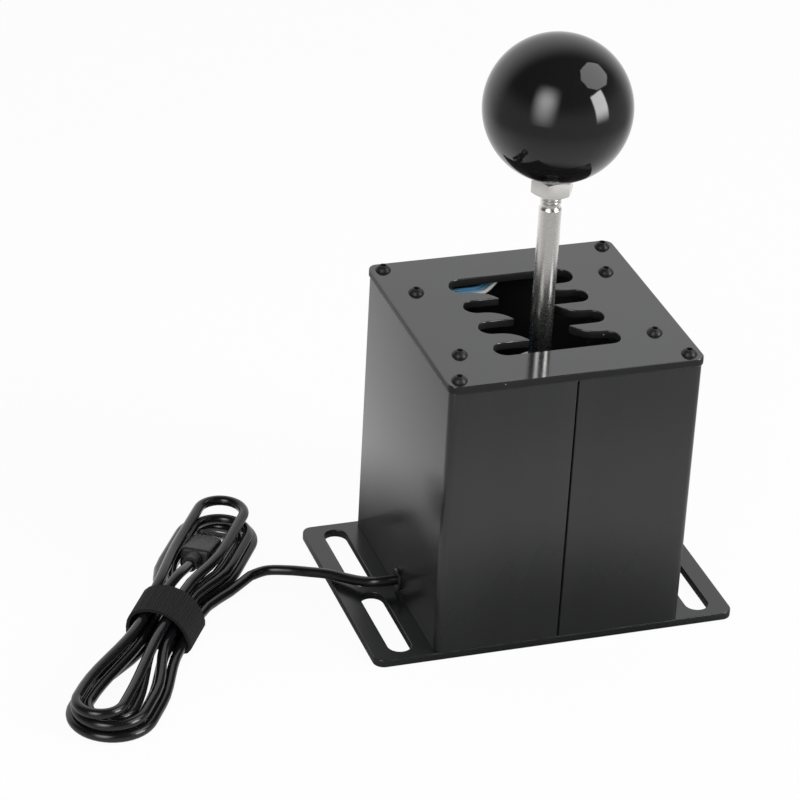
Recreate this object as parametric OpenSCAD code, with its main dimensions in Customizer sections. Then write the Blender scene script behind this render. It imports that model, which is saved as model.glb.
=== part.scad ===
// Desk-mounted H-pattern gear shifter: a black metal box with a four-row gate,
// a gimbal lever with a ball knob, and a USB lead folded into a tied hank.
// X runs across the box, Y to the back, Z up. The origin is under the middle of the box.

/* [Box] */
// Width and depth of the gate plate
plate_w = 94; // [92:0.5:104]
// Thickness of the gate plate
plate_t = 3; // [2:0.5:4]
// Overhang of the gate plate past the shells on each side
plate_lip = 0.5; // [0.2:0.1:1.5]
// Corner radius of the gate plate
plate_r = 3.5; // [1:0.5:5]
// Height of the two shells
shell_h = 104.7; // [98:0.1:120]
// Wall thickness of the shells
wall = 3; // [2:0.5:3.5]
// Outer corner radius of the shells
shell_r = 3; // [1:0.5:4]
// Gap of the seam between the shells
seam = 0.6; // [0.2:0.1:1]
// Thickness of the lips behind the seam
lip_t = 1.2; // [0.8:0.1:2]
// Reach of the lips past the seam
lip_reach = 4; // [2:0.5:8]
// Distance of the corner screws from the faces of the shells
corner_inset = 4.25; // [4:0.25:6]
// Radius of the screw channels in the shell corners
channel_r = 3.4; // [3:0.1:4.5]

/* [Base] */
// Thickness of the base plate
base_t = 3; // [3:0.5:6]
// Width of each base flange beyond the shells
flange_w = 21.8; // [19:0.2:30]
// Corner radius of the base plate
base_r = 4; // [1:0.5:6]
// Width of the mounting slots
slot_w = 8.6; // [6.5:0.1:9]
// Metal between a slot's end and the front or back of the base plate
slot_margin = 4.3; // [3.5:0.1:12]
// Metal between the two slots in a flange
slot_bridge = 4.4; // [3:0.1:12]
// Metal between a slot's side and the edge of the flange
slot_edge = 7; // [4:0.5:8]

/* [Gate] */
// Distance between neighbouring rows
row_pitch = 16; // [15.5:0.1:17]
// Width of a row
row_w = 9.1; // [9:0.1:10]
// Width of the back row, where the lever leans most
wide_row_w = 10.7; // [10.5:0.1:12]
// Reach of a row from the middle to its round end
row_reach = 23.4; // [22:0.2:25]
// Distance of the finger tips from the middle
tip_x = 8.7; // [7:0.1:10]
// How far the gate sits in front of the middle
gate_shift = 0.4; // [0:0.1:2]

/* [Lever] */
// Diameter of the lever rod
rod_d = 8; // [6:0.5:8]
// Height of the rod's shoulder above the gate plate
rod_rise = 45.5; // [35:0.5:70]
// Diameter of the threaded neck of the rod
neck_d = 7.4; // [5:0.1:7.8]
// Bare thread between the shoulder and the jam nut
neck_gap = 5.5; // [2:0.1:12]
// Width of the jam nut across its corners
nut_d = 15.5; // [13:0.5:20]
// Height of the jam nut
nut_h = 5.6; // [3:0.1:7]
// Diameter of the ball knob
knob_d = 52; // [40:0.2:60]
// Diameter of the flat under the knob
knob_flat_d = 12; // [12:0.5:18]
// Height of the insert's collar between the nut and the knob
collar_h = 0.5; // [0.3:0.1:4]
// Outer diameter of the knob insert
insert_d = 11; // [10:0.5:12]
// Depth of the insert in the knob
insert_depth = 18; // [10:1:25]

/* [Gimbal] */
// Height of the pivot above the base plate
pivot_h = 23; // [22:0.5:30]
// Half width of the yoke across the box
yoke_x = 17; // [16:0.5:20]
// Half length of the yoke along the box
yoke_y = 18; // [17:0.5:22]
// Thickness of the yoke
yoke_t = 12; // [11:0.5:16]
// Half width of the window in the yoke
window_x = 11.5; // [11:0.25:12.5]
// Half width of the lever hub across the box
hub_x = 8; // [7:0.25:9]
// Half length of the lever hub along its axle
hub_y = 8.9; // [7:0.1:9.5]
// Height of the hub above the pivot
hub_up = 26; // [20:0.5:34]
// Depth of the hub below the pivot
hub_down = 8; // [6.5:0.5:9]
// Thickness of the friction washers
washer_t = 1; // [0.5:0.1:2]
// Diameter of the shift axle
axle_d = 6; // [5:0.25:7]
// Wall of the bushes on the axle and the trunnions
bush_wall = 1; // [0.8:0.1:1.5]
// Diameter of the trunnion pins
trunnion_d = 8; // [6:0.25:9]
// Thickness of the bearing blocks
block_x = 10; // [8:0.5:12]
// Width of the bearing blocks along the box
block_y = 26; // [24:0.5:32]
// Height of the bearing blocks above the pivot
block_up = 10; // [9:0.5:16]
// Thickness of the bush flanges
flange_t = 1.2; // [0.8:0.1:2]
// Outer diameter of the centring springs
spring_d = 7.6; // [6:0.2:7.8]
// Wire of the centring springs
spring_wire = 1; // [0.6:0.1:1.2]
// Turns of each centring spring
spring_turns = 6; // [4:1:8]
// Height of the magnet collar under the gate plate
collar_drop = 13; // [11:0.5:30]
// Outer diameter of the magnet collar
magnet_collar_d = 16; // [15:0.5:20]

/* [Boards] */
// Width of the sensor boards
board_w = 13; // [10:0.5:14]
// Length of the sensor boards
board_len = 58; // [54:1:70]
// Thickness of the circuit boards
board_t = 1.6; // [1:0.1:2]
// Distance between the two screws of a sensor board
board_pitch = 47.5; // [44:0.5:50]
// How far the board screws sit in front of the middle
board_shift = 1.2; // [0:0.1:2]
// Gap between a sensor board and the shell
board_gap = 0.8; // [0.5:0.1:2]
// Length of the standoffs under the gate plate
standoff_h = 10; // [9:0.5:14]
// Width of the controller board
controller_w = 40; // [34:1:44]
// Depth of the controller board
controller_d = 18; // [16:1:20]
// Height of the controller board above the base plate
spacer_h = 5; // [3:0.5:8]

/* [Lead] */
// Diameter of the USB lead
lead_d = 3.8; // [3:0.1:3.8]
// Height of the lead's hole above the base plate
lead_rise = 5; // [5:0.5:12]
// Distance of the lead's hole in front of the middle
lead_front = 4; // [0:0.5:6]
// Fold radius of the outermost turn at the lower end of the hank
fold_low = 14.2; // [14.2:0.1:16]
// Fold radius of the outermost turn at the upper end of the hank
fold_up = 13.8; // [13.8:0.1:16]
// Length of a run from the tie to the lower fold
run_low = 54; // [45:0.5:70]
// Length of a run from the tie to the upper fold
run_up = 66; // [66:0.5:80]
// Sideways step from turn to turn
loop_step = 4.2; // [4.2:0.1:4.4]
// Height of a layer of turns
layer_h = 4.2; // [4.2:0.1:6]
// Width of the strap round the hank
tie_w = 17; // [12:0.5:22]
// Thickness of the strap
tie_t = 1.2; // [0.8:0.1:1.2]

/* [Hidden] */
$fn = 64;
fit = 0.05;
body_gap = 0.3;
m3 = 3;
m4 = 4;
m25 = 2.5;
hole_play = 0.2;

// Screws: sizes of heads and sockets as shares of the thread, and the length of thread that grips
head_ratio = 1.9;
head_rise = 0.62;
countersink = 1.8;
socket_ratio = 0.75;
flat_socket_ratio = 0.65;
socket_depth = 0.4;
screw_grip = 8;
hole_grip = 10;
tip_gap = 0.5;
past = 1;

body_w = plate_w - 2 * plate_lip;
inner_w = body_w - 2 * wall;
base_w = body_w + 2 * flange_w;
shell_top = base_t + shell_h;
plate_top = shell_top + plate_t;
corner = body_w / 2 - corner_inset;
slot_x = base_w / 2 - slot_edge - slot_w / 2;
slot_len = (body_w - 2 * slot_margin - slot_bridge) / 2;
slot_pitch = slot_len + slot_bridge;

// The rows count from the back; the lever rests in the third one
rows = [0, 1, 2, 3];
rest_row = 2;
function row_y(i) = (1.5 - i) * row_pitch - gate_shift;
function row_width(i) = i == 0 ? wide_row_w : row_w;
function row_end(i) = row_reach - row_width(i) / 2;

lever_y = row_y(rest_row);
pivot_z = base_t + pivot_h;
yoke_low = pivot_z - yoke_t / 2;
window_y = hub_y + washer_t + 2 * fit;
bush_r = axle_d / 2 + bush_wall;
trunnion_bush_r = trunnion_d / 2 + 2 * bush_wall;
block_in = yoke_x + body_gap + flange_t;
block_mid = block_in + block_x / 2;
trunnion_end = block_in + block_x - tip_gap;
trunnion_start = window_x + tip_gap;
spring_y = (window_y + yoke_y) / 2;
block_screw_y = block_y / 2 - 5;
flange_lip = 1.5;
post_h = 6;
axle_hex = 1.8 * axle_d;
axle_head = 4;
axle_nut_h = 5;
washer_d = axle_d + 6;
hub_seat = bush_r + 3;
hub_top = pivot_z + hub_up;
hub_screw_z = [hub_top - 13, hub_top - 5];
shoulder_z = plate_top + rod_rise;
nut_z = shoulder_z + neck_gap;
knob_low = nut_z + nut_h + collar_h;
knob_z = knob_low + sqrt(pow(knob_d / 2, 2) - pow(knob_flat_d / 2, 2));
collar_len = 7;
collar_top = shell_top - collar_drop;
magnet_d = 4;
magnet_depth = 2;

board_x = inner_w / 2 - board_gap - board_w / 2;
board_top = shell_top - standoff_h;
upper_thread = 5.5;
lower_thread = standoff_h - upper_thread - past;
standoff_d = 5.8;
chip_w = 3;
chip_d = 4;
chip_h = 1.5;
chip_x = board_x - board_w / 2 + chip_w / 2 + body_gap;
controller_y = inner_w / 2 - 3.5 - controller_d / 2;
controller_x = -10;
controller_z = base_t + spacer_h;
spacer_d = 5;
spacer_x = controller_w / 2 - 3.5;
spacer_y = controller_d / 2 - 3.5;

// The lead: bush in the left shell, a stretch inside and a stretch outside
lead_r = lead_d / 2;
lead_y = -lead_front;
lead_z = base_t + lead_rise;
bush_lip = 1;
bush_neck_r = lead_r + 1.2;
bush_lip_r = bush_neck_r + 1;
bush_len = wall + 2 * bush_lip;
exit_x = -body_w / 2 - bush_lip;
saddle_wall = 1.6;
saddle_ear = 6;
saddle_edge = 3;
saddle_len = 8;
saddle_x = -inner_w / 2 + 2 * lead_d - lead_r - body_gap;
saddle_y = controller_y - controller_d / 2 - saddle_len;
saddle_z = base_t + lead_r + body_gap;
saddle_top = saddle_z + lead_r + saddle_wall;
inner_end_x = controller_x - controller_w / 2 + lead_d;
inner_end_z = controller_z + board_t + lead_r + fit;
lead_exit = [exit_x, lead_y, lead_z];
inner_route = [
    [exit_x + bush_len + lead_r / 2, lead_y, lead_z],
    [saddle_x - 2.4, lead_y + 1.4, lead_z - 0.6],
    [saddle_x - 0.6, lead_y + 5.4, lead_z - 1.6],
    [saddle_x, saddle_y - saddle_len, saddle_z],
    [saddle_x, saddle_y, saddle_z],
    [saddle_x, saddle_y + saddle_len, saddle_z],
    [saddle_x + 2.2, controller_y - 3.6, saddle_z + 3],
    [inner_end_x - 8, controller_y - 0.6, inner_end_z - 0.6],
    [inner_end_x - lead_d, controller_y, inner_end_z],
    [inner_end_x, controller_y, inner_end_z]
];
free_route = [
    [exit_x - lead_d, lead_y, lead_z],
    [-55.4, -2.9, 7.6],
    [-59.6, 0.6, 6.5],
    [-64, 5.4, 5.6],
    [-69, 10, 5.2],
    [-74.5, 14.3, 4.2],
    [-80.8, 19, 3],
    [-88.4, 22.4, 2]
];

// The hank: one tube in five turns, wound inwards and then outwards. Two turns lie on the table,
// two lie on them and one on top. All are drawn in under the strap.
hank_at = [-136.3, -7.9];
hank_turn = 57.5;
neck = 12;
strap_lift = tie_t + body_gap;
rings = 24;
first_ring = -2;
last_ring = 4 * rings + 12;
first_climb = [44, 4];
second_climb = [83.8, 1.8];
fold_top = 8.2;

// The two ends of each turn: length of the runs, radius of the fold, sideways shift of the fold,
// and how quickly the runs open. The first upper one is the lead on its way in.
low_turns = [
    [run_low, fold_low, 0, 120],
    [run_low, fold_low - loop_step, 0, 120],
    [run_low + 1.5, fold_low - 1.5 * loop_step, 0, 90],
    [run_low + 1.5, fold_low - 0.5 * loop_step, 0, 120],
    [run_low + 5.5, fold_top, 0.6 * loop_step, 100]
];
up_turns = [
    [run_up, fold_up + loop_step, 0, 150],
    [run_up, fold_up, 0, 150],
    [run_up, fold_up - 1.1 * loop_step, 0.1 * loop_step, 150],
    [run_up - 2, fold_up - 0.8 * loop_step, -0.5 * loop_step, 150],
    [run_up + 6, fold_top + 0.4, 0, 150]
];

// Distance of each turn's two strands from the middle of the strap
left_strands = loop_step * [1.5, 0.5, 0.5, 1.5, 1];
right_strands = loop_step * [2.5, 1.5, 0.5, 1.5, 1];
low_z = lead_r + fit + strap_lift;
top_z = low_z + 2 * layer_h;

// The plug: a moulded grip with a short taper, and a steel shell. It lies in the upper loops,
// with its nose on the table.
relief_len = 6;
grip_len = 17;
grip = [11.6, 8];
shell_len = 11;
usb_shell = [12, 4.5];
plug_len = relief_len + grip_len + shell_len;
plug_s = run_up + 2 - plug_len;
plug_z = top_z - lead_r;
plug_tilt = asin((plug_z - usb_shell[1] / 2 - 2 * fit) / plug_len);
plug_y = 0.2;
plug_at = [plug_s, plug_y, plug_z];
plug_lead = [[neck, 2.2, top_z + 0.2], [plug_s - 12, 0.9, top_z + 0.4]];
shell_wall = 0.4;
tongue_t = 1.8;
usb_mouth = [usb_shell[0] - 2 * shell_wall, usb_shell[1] - 2 * shell_wall - tongue_t];
relief_d = [lead_d + 2, 7];
grip_r = 1.5;
root_len = 7;
root_w = usb_shell[0] - 2;

// Wires under the gate plate and up the left wall
wire_r = 0.75;
wire_step = 2.2;
wire_sides = 6;
wire_bend = 3;
wire_reach = 10;
wire_clear = 4;
wire_drop = 5;
wire_gap = 0.2;
wire_y = row_y(0) + wide_row_w / 2 + wire_clear;
wire_z = shell_top - wire_drop;
link_y = board_len / 2 - board_shift - wire_r;
riser_x = -inner_w / 2 + 2 * wire_r;
riser_y = controller_y - 19;

// Tubes: a ring of points at each place along a path, skinned with triangles
function unit(v) = v / norm(v);
function heading(p, i) = unit(p[min(i + 1, len(p) - 1)] - p[max(i - 1, 0)]);
function ring_at(p, i, r, sides, up) =
    let (t = heading(p, i), a = unit(cross(t, up)), b = cross(a, t))
    [for (k = [0 : sides - 1]) p[i] + r * (cos(360 * k / sides) * a + sin(360 * k / sides) * b)];
function bend_at(a, b, c, d, t) =
    0.5 * (2 * b + t * (c - a) + t * t * (2 * a - 5 * b + 4 * c - d) + t * t * t * (3 * b - a - 3 * c + d));
function smooth(p, steps) = [
    for (i = [0 : len(p) - 2], k = [0 : steps - 1])
        bend_at(p[max(i - 1, 0)], p[i], p[i + 1], p[min(i + 2, len(p) - 1)], k / steps),
    p[len(p) - 1]
];
function path_len(p, i = 0) = i >= len(p) - 1 ? 0 : norm(p[i + 1] - p[i]) + path_len(p, i + 1);

module tube(p, r, sides, up = [0, 0, 1]) {
    n = len(p);
    last = (n - 1) * sides;
    points = [for (i = [0 : n - 1]) each ring_at(p, i, r, sides, up)];
    skin = [
        for (i = [0 : n - 2], k = [0 : sides - 1])
            let (a = i * sides + k, b = i * sides + (k + 1) % sides)
            each [[a, b, a + sides], [b, b + sides, a + sides]]
    ];
    start_cap = [for (k = [1 : sides - 2]) [0, k + 1, k]];
    end_cap = [for (k = [1 : sides - 2]) [last, last + k, last + k + 1]];
    polyhedron(points, concat(skin, start_cap, end_cap));
}

// Flat shapes
module plate_2d(w, d, r) {
    square([w - 2 * r, d], center = true);
    square([w, d - 2 * r], center = true);
    for (x = [-1, 1], y = [-1, 1])
        translate([x * (w / 2 - r), y * (d / 2 - r)])
            circle(r);
}

module slot_2d(w, reach) {
    square([2 * reach, w], center = true);
    for (s = [-1, 1])
        translate([s * reach, 0])
            circle(d = w);
}

module at_corners(x, y) {
    for (i = [-1, 1], j = [-1, 1])
        translate([i * x, j * y])
            children();
}

// The gate: four rows with round ends, and the lead-ins between the fingers
finger_steps = 8;
row_overlap = 1;
function finger_r(u, h) = (u * u + h * h) / (2 * h);
function finger_curve(u, h) =
    let (r = finger_r(u, h), end = atan2(u, r - h))
    [for (k = [0 : finger_steps]) let (a = end * k / finger_steps) [r * sin(a), r - r * cos(a)]];

module finger_gap_2d(i) {
    high = row_y(i) - row_width(i) / 2;
    low = row_y(i + 1) + row_width(i + 1) / 2;
    left = row_end(i);
    right = row_end(i + 1);
    h = high - low;
    polygon(concat(
        [for (q = finger_curve(left - tip_x, h)) [q[0] - left, high - q[1]]],
        [[-tip_x, low - row_overlap], [right, low - row_overlap]],
        [for (q = finger_curve(right - tip_x, h)) [right - q[0], low + q[1]]],
        [[tip_x, high + row_overlap], [-left, high + row_overlap]]
    ));
}

module gate_2d() {
    for (i = rows)
        translate([0, row_y(i)])
            slot_2d(row_width(i), row_end(i));
    for (i = [0 : len(rows) - 2])
        finger_gap_2d(i);
}

// Fasteners, drawn with the seat of the head at the origin and the shank pointing down
module button_screw(d, shank) {
    head_r = d * head_ratio / 2;
    head_h = d * head_rise;
    dome_r = (head_r * head_r + head_h * head_h) / (2 * head_h);
    difference() {
        union() {
            intersection() {
                translate([0, 0, head_h - dome_r])
                    sphere(dome_r);
                cylinder(r = head_r, h = head_h);
            }
            translate([0, 0, -shank])
                cylinder(d = d, h = shank + head_h / 4);
        }
        translate([0, 0, head_h * socket_depth])
            cylinder(d = d * socket_ratio, h = head_h, $fn = 6);
    }
}

module flat_screw(d, shank) {
    difference() {
        union() {
            cylinder(d1 = d * countersink, d2 = d, h = d * (countersink - 1) / 2);
            cylinder(d = d, h = shank);
        }
        translate([0, 0, -past])
            cylinder(d = d * flat_socket_ratio, h = past + d * socket_depth, $fn = 6);
    }
}

module flat_screw_hole(d, t) {
    bore = d + hole_play;
    translate([0, 0, -fit])
        cylinder(d1 = bore * countersink + 2 * fit, d2 = bore, h = bore * (countersink - 1) / 2);
    translate([0, 0, -past])
        cylinder(d = bore, h = t + 2 * past);
}

// Box
module base_plate() color([0.07, 0.07, 0.08]) difference() {
    linear_extrude(base_t) difference() {
        plate_2d(base_w, body_w, base_r);
        at_corners(slot_x, slot_pitch / 2)
            rotate(90)
                slot_2d(slot_w, (slot_len - slot_w) / 2);
        for (s = [-1, 1])
            translate([0, lever_y + s * spring_y])
                circle(d = m3 + 2 * fit);
        translate([controller_x, controller_y])
            at_corners(spacer_x, spacer_y)
                circle(d = m25 + 2 * fit);
        translate([saddle_x + saddle_ear, saddle_y])
            circle(d = m3 + 2 * fit);
    }
    at_corners(corner, corner)
        flat_screw_hole(m3, base_t);
    translate([0, lever_y])
        at_corners(block_mid, block_screw_y)
            flat_screw_hole(m4, base_t);
}

module shell_2d(side) {
    difference() {
        union() {
            intersection() {
                difference() {
                    plate_2d(body_w, body_w, shell_r);
                    square(inner_w, center = true);
                }
                translate([side * (body_w / 4 + seam / 2), 0])
                    square([body_w / 2, body_w + 2 * past], center = true);
            }
            for (s = [-1, 1])
                intersection() {
                    translate([side * corner, s * corner])
                        circle(channel_r);
                    square(body_w - wall, center = true);
                }
            if (side < 0)
                for (s = [-1, 1])
                    seam_lip_2d(s);
        }
        for (s = [-1, 1])
            translate([side * corner, s * corner])
                circle(d = m3 + 2 * fit);
    }
}

// A lip on the left shell that reaches behind the right one
lip_gap = 0.15;
lip_root = 6;
module seam_lip_2d(s) {
    low = inner_w / 2 - lip_gap - lip_t;
    mirror([0, s < 0 ? 1 : 0]) {
        translate([-lip_root, low])
            square([lip_root + lip_reach, lip_t]);
        translate([-lip_root, low])
            square([lip_root - seam / 2, lip_t + lip_gap + wall / 2]);
    }
}

module left_shell() color([0.07, 0.07, 0.08]) difference() {
    translate([0, 0, base_t])
        linear_extrude(shell_h)
            shell_2d(-1);
    translate([-body_w / 2 - past, lead_y, lead_z])
        rotate([0, 90, 0])
            cylinder(r = bush_neck_r + fit, h = wall + 2 * past);
}

module right_shell() color([0.07, 0.07, 0.08])
    translate([0, 0, base_t])
        linear_extrude(shell_h)
            shell_2d(1);

module gate_plate() color([0.09, 0.09, 0.1])
    translate([0, 0, shell_top])
        linear_extrude(plate_t) difference() {
            plate_2d(plate_w, plate_w, plate_r);
            gate_2d();
            at_corners(corner, corner)
                circle(d = m3 + hole_play);
            translate([0, -board_shift])
                at_corners(board_x, board_pitch / 2)
                    circle(d = m3 + hole_play);
        }

module corner_screws() color([0.05, 0.05, 0.05])
    at_corners(corner, corner)
        translate([0, 0, plate_top])
            button_screw(m3, plate_t + screw_grip);

module board_screws() color([0.05, 0.05, 0.05])
    translate([0, -board_shift, plate_top])
        at_corners(board_x, board_pitch / 2)
            button_screw(m3, plate_t + upper_thread);

module base_screws() color([0.05, 0.05, 0.05])
    at_corners(corner, corner)
        flat_screw(m3, base_t + screw_grip);

// Sensors under the gate plate
module sensor_board(side) color([0.02, 0.22, 0.1])
    translate([side * board_x, -board_shift, board_top - board_t])
        linear_extrude(board_t) difference() {
            square([board_w, board_len], center = true);
            for (s = [-1, 1])
                translate([0, s * board_pitch / 2])
                    circle(d = m3 + hole_play);
        }

module left_sensor_board() sensor_board(-1);

module right_sensor_board() sensor_board(1);

module hall_sensors() color([0.03, 0.03, 0.03])
    for (s = [-1, 1], i = rows)
        translate([s * chip_x, row_y(i), board_top + chip_h / 2])
            cube([chip_w, chip_d, chip_h], center = true);

module board_standoffs() color("gold")
    translate([0, -board_shift, board_top])
        at_corners(board_x, board_pitch / 2)
            difference() {
                cylinder(d = standoff_d, h = standoff_h, $fn = 6);
                translate([0, 0, -past])
                    cylinder(d = m3 + 2 * fit, h = standoff_h + 2 * past);
            }

module standoff_screws() color("silver")
    translate([0, -board_shift, board_top - board_t])
        at_corners(board_x, board_pitch / 2)
            mirror([0, 0, 1])
                button_screw(m3, board_t + lower_thread);

// Gimbal carrier on the base plate
module bearing_block(side) color("silver")
    difference() {
        translate([side * block_mid - block_x / 2, lever_y - block_y / 2, base_t])
            cube([block_x, block_y, pivot_h + block_up]);
        translate([side * block_mid, lever_y, pivot_z])
            rotate([0, 90, 0])
                cylinder(r = trunnion_bush_r + fit, h = block_x + 2 * past, center = true);
        for (s = [-1, 1])
            translate([side * block_mid, lever_y + s * block_screw_y, base_t - past])
                cylinder(d = m4 + 2 * fit, h = hole_grip + past);
    }

module left_bearing_block() bearing_block(-1);

module right_bearing_block() bearing_block(1);

module block_screws() color([0.05, 0.05, 0.05])
    translate([0, lever_y])
        at_corners(block_mid, block_screw_y)
            flat_screw(m4, base_t + screw_grip);

module trunnion_bushes() color("goldenrod")
    for (s = [-1, 1])
        translate([s * block_in, lever_y, pivot_z])
            rotate([0, s * 90, 0])
                difference() {
                    union() {
                        cylinder(r = trunnion_bush_r, h = block_x);
                        translate([0, 0, -flange_t])
                            cylinder(r = trunnion_bush_r + flange_lip, h = flange_t);
                    }
                    translate([0, 0, -flange_t - past])
                        cylinder(d = trunnion_d + 2 * fit, h = block_x + flange_t + 2 * past);
                }

module centring_springs() color("silver")
    for (s = [-1, 1])
        translate([0, lever_y + s * spring_y, base_t])
            tube(spring_path(), spring_wire / 2, spring_sides);

spring_rings = 8;
spring_sides = 6;
function spring_path() =
    let (
        n = spring_turns * spring_rings,
        r = (spring_d - spring_wire) / 2,
        rise = yoke_low - base_t - spring_wire - body_gap
    )
    [for (k = [0 : n]) [
        r * cos(360 * k / spring_rings),
        r * sin(360 * k / spring_rings),
        spring_wire / 2 + rise * k / n
    ]];

module spring_posts() color("silver")
    for (s = [-1, 1])
        translate([0, lever_y + s * spring_y]) {
            translate([0, 0, base_t])
                cylinder(d = spring_d - 2 * spring_wire - 2 * body_gap, h = post_h);
            cylinder(d = m3, h = base_t + past);
        }

// Controller and the lead inside the box
module controller_board() color([0.02, 0.1, 0.25])
    translate([controller_x, controller_y, controller_z])
        linear_extrude(board_t) difference() {
            square([controller_w, controller_d], center = true);
            at_corners(spacer_x, spacer_y)
                circle(d = m25 + hole_play);
        }

// The processor, its crystal and the plug-in header, each as a place and a size
processor = [[2, -2], [10, 10, 1.6]];
crystal = [[11, 3], [4, 3, 2]];
header = [[-7, -5], [8, 5, 4]];
module controller_chips() color([0.03, 0.03, 0.03])
    translate([controller_x, controller_y, controller_z + board_t])
        for (c = [processor, crystal, header])
            translate([c[0][0], c[0][1], c[1][2] / 2])
                cube(c[1], center = true);

module board_spacers() color("white")
    translate([controller_x, controller_y, base_t])
        at_corners(spacer_x, spacer_y)
            difference() {
                cylinder(d = spacer_d, h = spacer_h);
                translate([0, 0, -past])
                    cylinder(d = m25 + hole_play, h = spacer_h + 2 * past);
            }

module controller_screws() color("silver")
    translate([controller_x, controller_y, controller_z + board_t])
        at_corners(spacer_x, spacer_y)
            button_screw(m25, board_t + spacer_h + base_t - tip_gap);

module cable_bush() color([0.05, 0.05, 0.05])
    translate([exit_x, lead_y, lead_z])
        rotate([0, 90, 0])
            difference() {
                union() {
                    cylinder(r = bush_lip_r, h = bush_lip);
                    cylinder(r = bush_neck_r, h = bush_len);
                    translate([0, 0, wall + bush_lip])
                        cylinder(r = bush_lip_r, h = bush_lip);
                }
                translate([0, 0, -past])
                    cylinder(r = lead_r + fit, h = bush_len + 2 * past);
            }

lead_sides = 8;
module inner_cable() color([0.04, 0.04, 0.04])
    tube(concat([lead_exit], smooth(inner_route, 2)), lead_r, lead_sides);

module cable_saddle() color("white")
    difference() {
        translate([saddle_x - lead_r - saddle_wall, saddle_y - saddle_len / 2, base_t])
            cube([lead_r + saddle_wall + saddle_ear + saddle_edge, saddle_len, saddle_top - base_t]);
        translate([saddle_x, saddle_y, saddle_z])
            rotate([90, 0, 0])
                cylinder(r = lead_r + hole_play, h = saddle_len + 2 * past, center = true);
        translate([saddle_x - lead_r - hole_play, saddle_y - saddle_len, base_t - past])
            cube([2 * (lead_r + hole_play), 2 * saddle_len, saddle_z - base_t + past]);
        translate([saddle_x + saddle_ear, saddle_y, base_t - past])
            cylinder(d = m3 + hole_play, h = saddle_top);
    }

module saddle_screw() color("silver")
    translate([saddle_x + saddle_ear, saddle_y, saddle_top])
        button_screw(m3, saddle_top - tip_gap);

// Three wires join the two sensor boards, side by side; k is -1, 0 or 1. They show behind the
// left end of the gate's back row, and then run close together under the plate's back edge. Each
// place has a position and the step from one wire to the next.
link_line = [
    [-26.2, -0.8, -0.8, wire_step],
    [-17, 0, 0, wire_step],
    [-7, 0.8, 0.2, 2],
    [0, 4.5, 2.6, 1.7],
    [6, 6.5, 3.8, 1.6],
    [14, 6.6, 3.9, 1.6],
    [22, 6.3, 3.7, 1.6],
    [29, 3, 1.6, 1.8]
];
function link_end(k, side) = [
    [side * (board_x + k * wire_step), link_y, board_top + wire_r + fit],
    [side * (board_x - wire_bend + k * wire_step), link_y + wire_bend + k * wire_r, board_top + wire_bend]
];
function link_route(k) = concat(
    link_end(k, -1),
    [for (p = link_line) [p[0], wire_y + p[1] + k * p[3], wire_z + p[2]]],
    [link_end(k, 1)[1], link_end(k, 1)[0]]
);

module link_wires_blue() color("deepskyblue")
    for (k = [0, 1])
        tube(smooth(link_route(k), 2), wire_r, wire_sides);

module link_wires_white() color("white")
    tube(smooth(link_route(-1), 2), wire_r, wire_sides);

// Three wires go from the header on the controller up the left wall to the left sensor board
function riser_route(k) =
    let (
        header_end = controller_x + header[0][0] - header[1][0] / 2,
        board_end = controller_x - controller_w / 2,
        start_y = controller_y + header[0][1] + (k - 1) * wire_step - wire_gap,
        y = riser_y + k * wire_step,
        low = controller_z + board_t + header[1][2] / 2
    )
    [
        [header_end - 2 * fit, start_y, low],
        [header_end - wire_bend, start_y, low],
        [board_end - wire_bend, start_y, low + wire_bend],
        [riser_x + wire_bend, y + 2 * wire_bend, low + 2 * wire_reach],
        [riser_x, y, low + 4 * wire_reach],
        [riser_x, y, board_top - 3 * wire_reach],
        [riser_x + wire_r, y, board_top - wire_reach],
        [-board_x, y, board_top - board_t - wire_r - fit]
    ];

module controller_wires() color("deepskyblue")
    for (k = [0 : 2])
        tube(smooth(riser_route(k), 2), wire_r, wire_sides, [0, 1, 0]);

// Yoke, which tilts sideways between the bearing blocks
module select_yoke() color("silver")
    translate([0, lever_y, pivot_z])
        difference() {
            cube([2 * yoke_x, 2 * yoke_y, yoke_t], center = true);
            cube([2 * window_x, 2 * window_y, yoke_t + 2 * past], center = true);
            rotate([0, 90, 0])
                cylinder(d = trunnion_d + 2 * fit, h = 2 * yoke_x + 2 * past, center = true);
            rotate([90, 0, 0])
                cylinder(d = axle_d + 2 * fit, h = 2 * yoke_y + 2 * past, center = true);
        }

module trunnion_pins() color("silver")
    for (s = [-1, 1])
        translate([s * trunnion_start, lever_y, pivot_z])
            rotate([0, s * 90, 0])
                cylinder(d = trunnion_d, h = trunnion_end - trunnion_start);

module shift_axle() color("silver")
    translate([0, lever_y - yoke_y, pivot_z])
        rotate([-90, 0, 0]) {
            cylinder(d = axle_d, h = 2 * yoke_y + axle_nut_h + past);
            translate([0, 0, -axle_head])
                cylinder(d = axle_hex, h = axle_head, $fn = 6);
        }

module axle_nut() color("silver")
    translate([0, lever_y + yoke_y, pivot_z])
        rotate([-90, 0, 0])
            difference() {
                cylinder(d = axle_hex, h = axle_nut_h, $fn = 6);
                translate([0, 0, -past])
                    cylinder(d = axle_d + 2 * fit, h = axle_nut_h + 2 * past);
            }

module friction_washers() color("ivory")
    for (s = [-1, 1])
        translate([0, lever_y + s * (window_y - washer_t / 2 - fit / 2), pivot_z])
            rotate([90, 0, 0])
                difference() {
                    cylinder(d = washer_d, h = washer_t, center = true);
                    cylinder(d = axle_d + 2 * fit, h = washer_t + 2 * past, center = true);
                }

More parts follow.
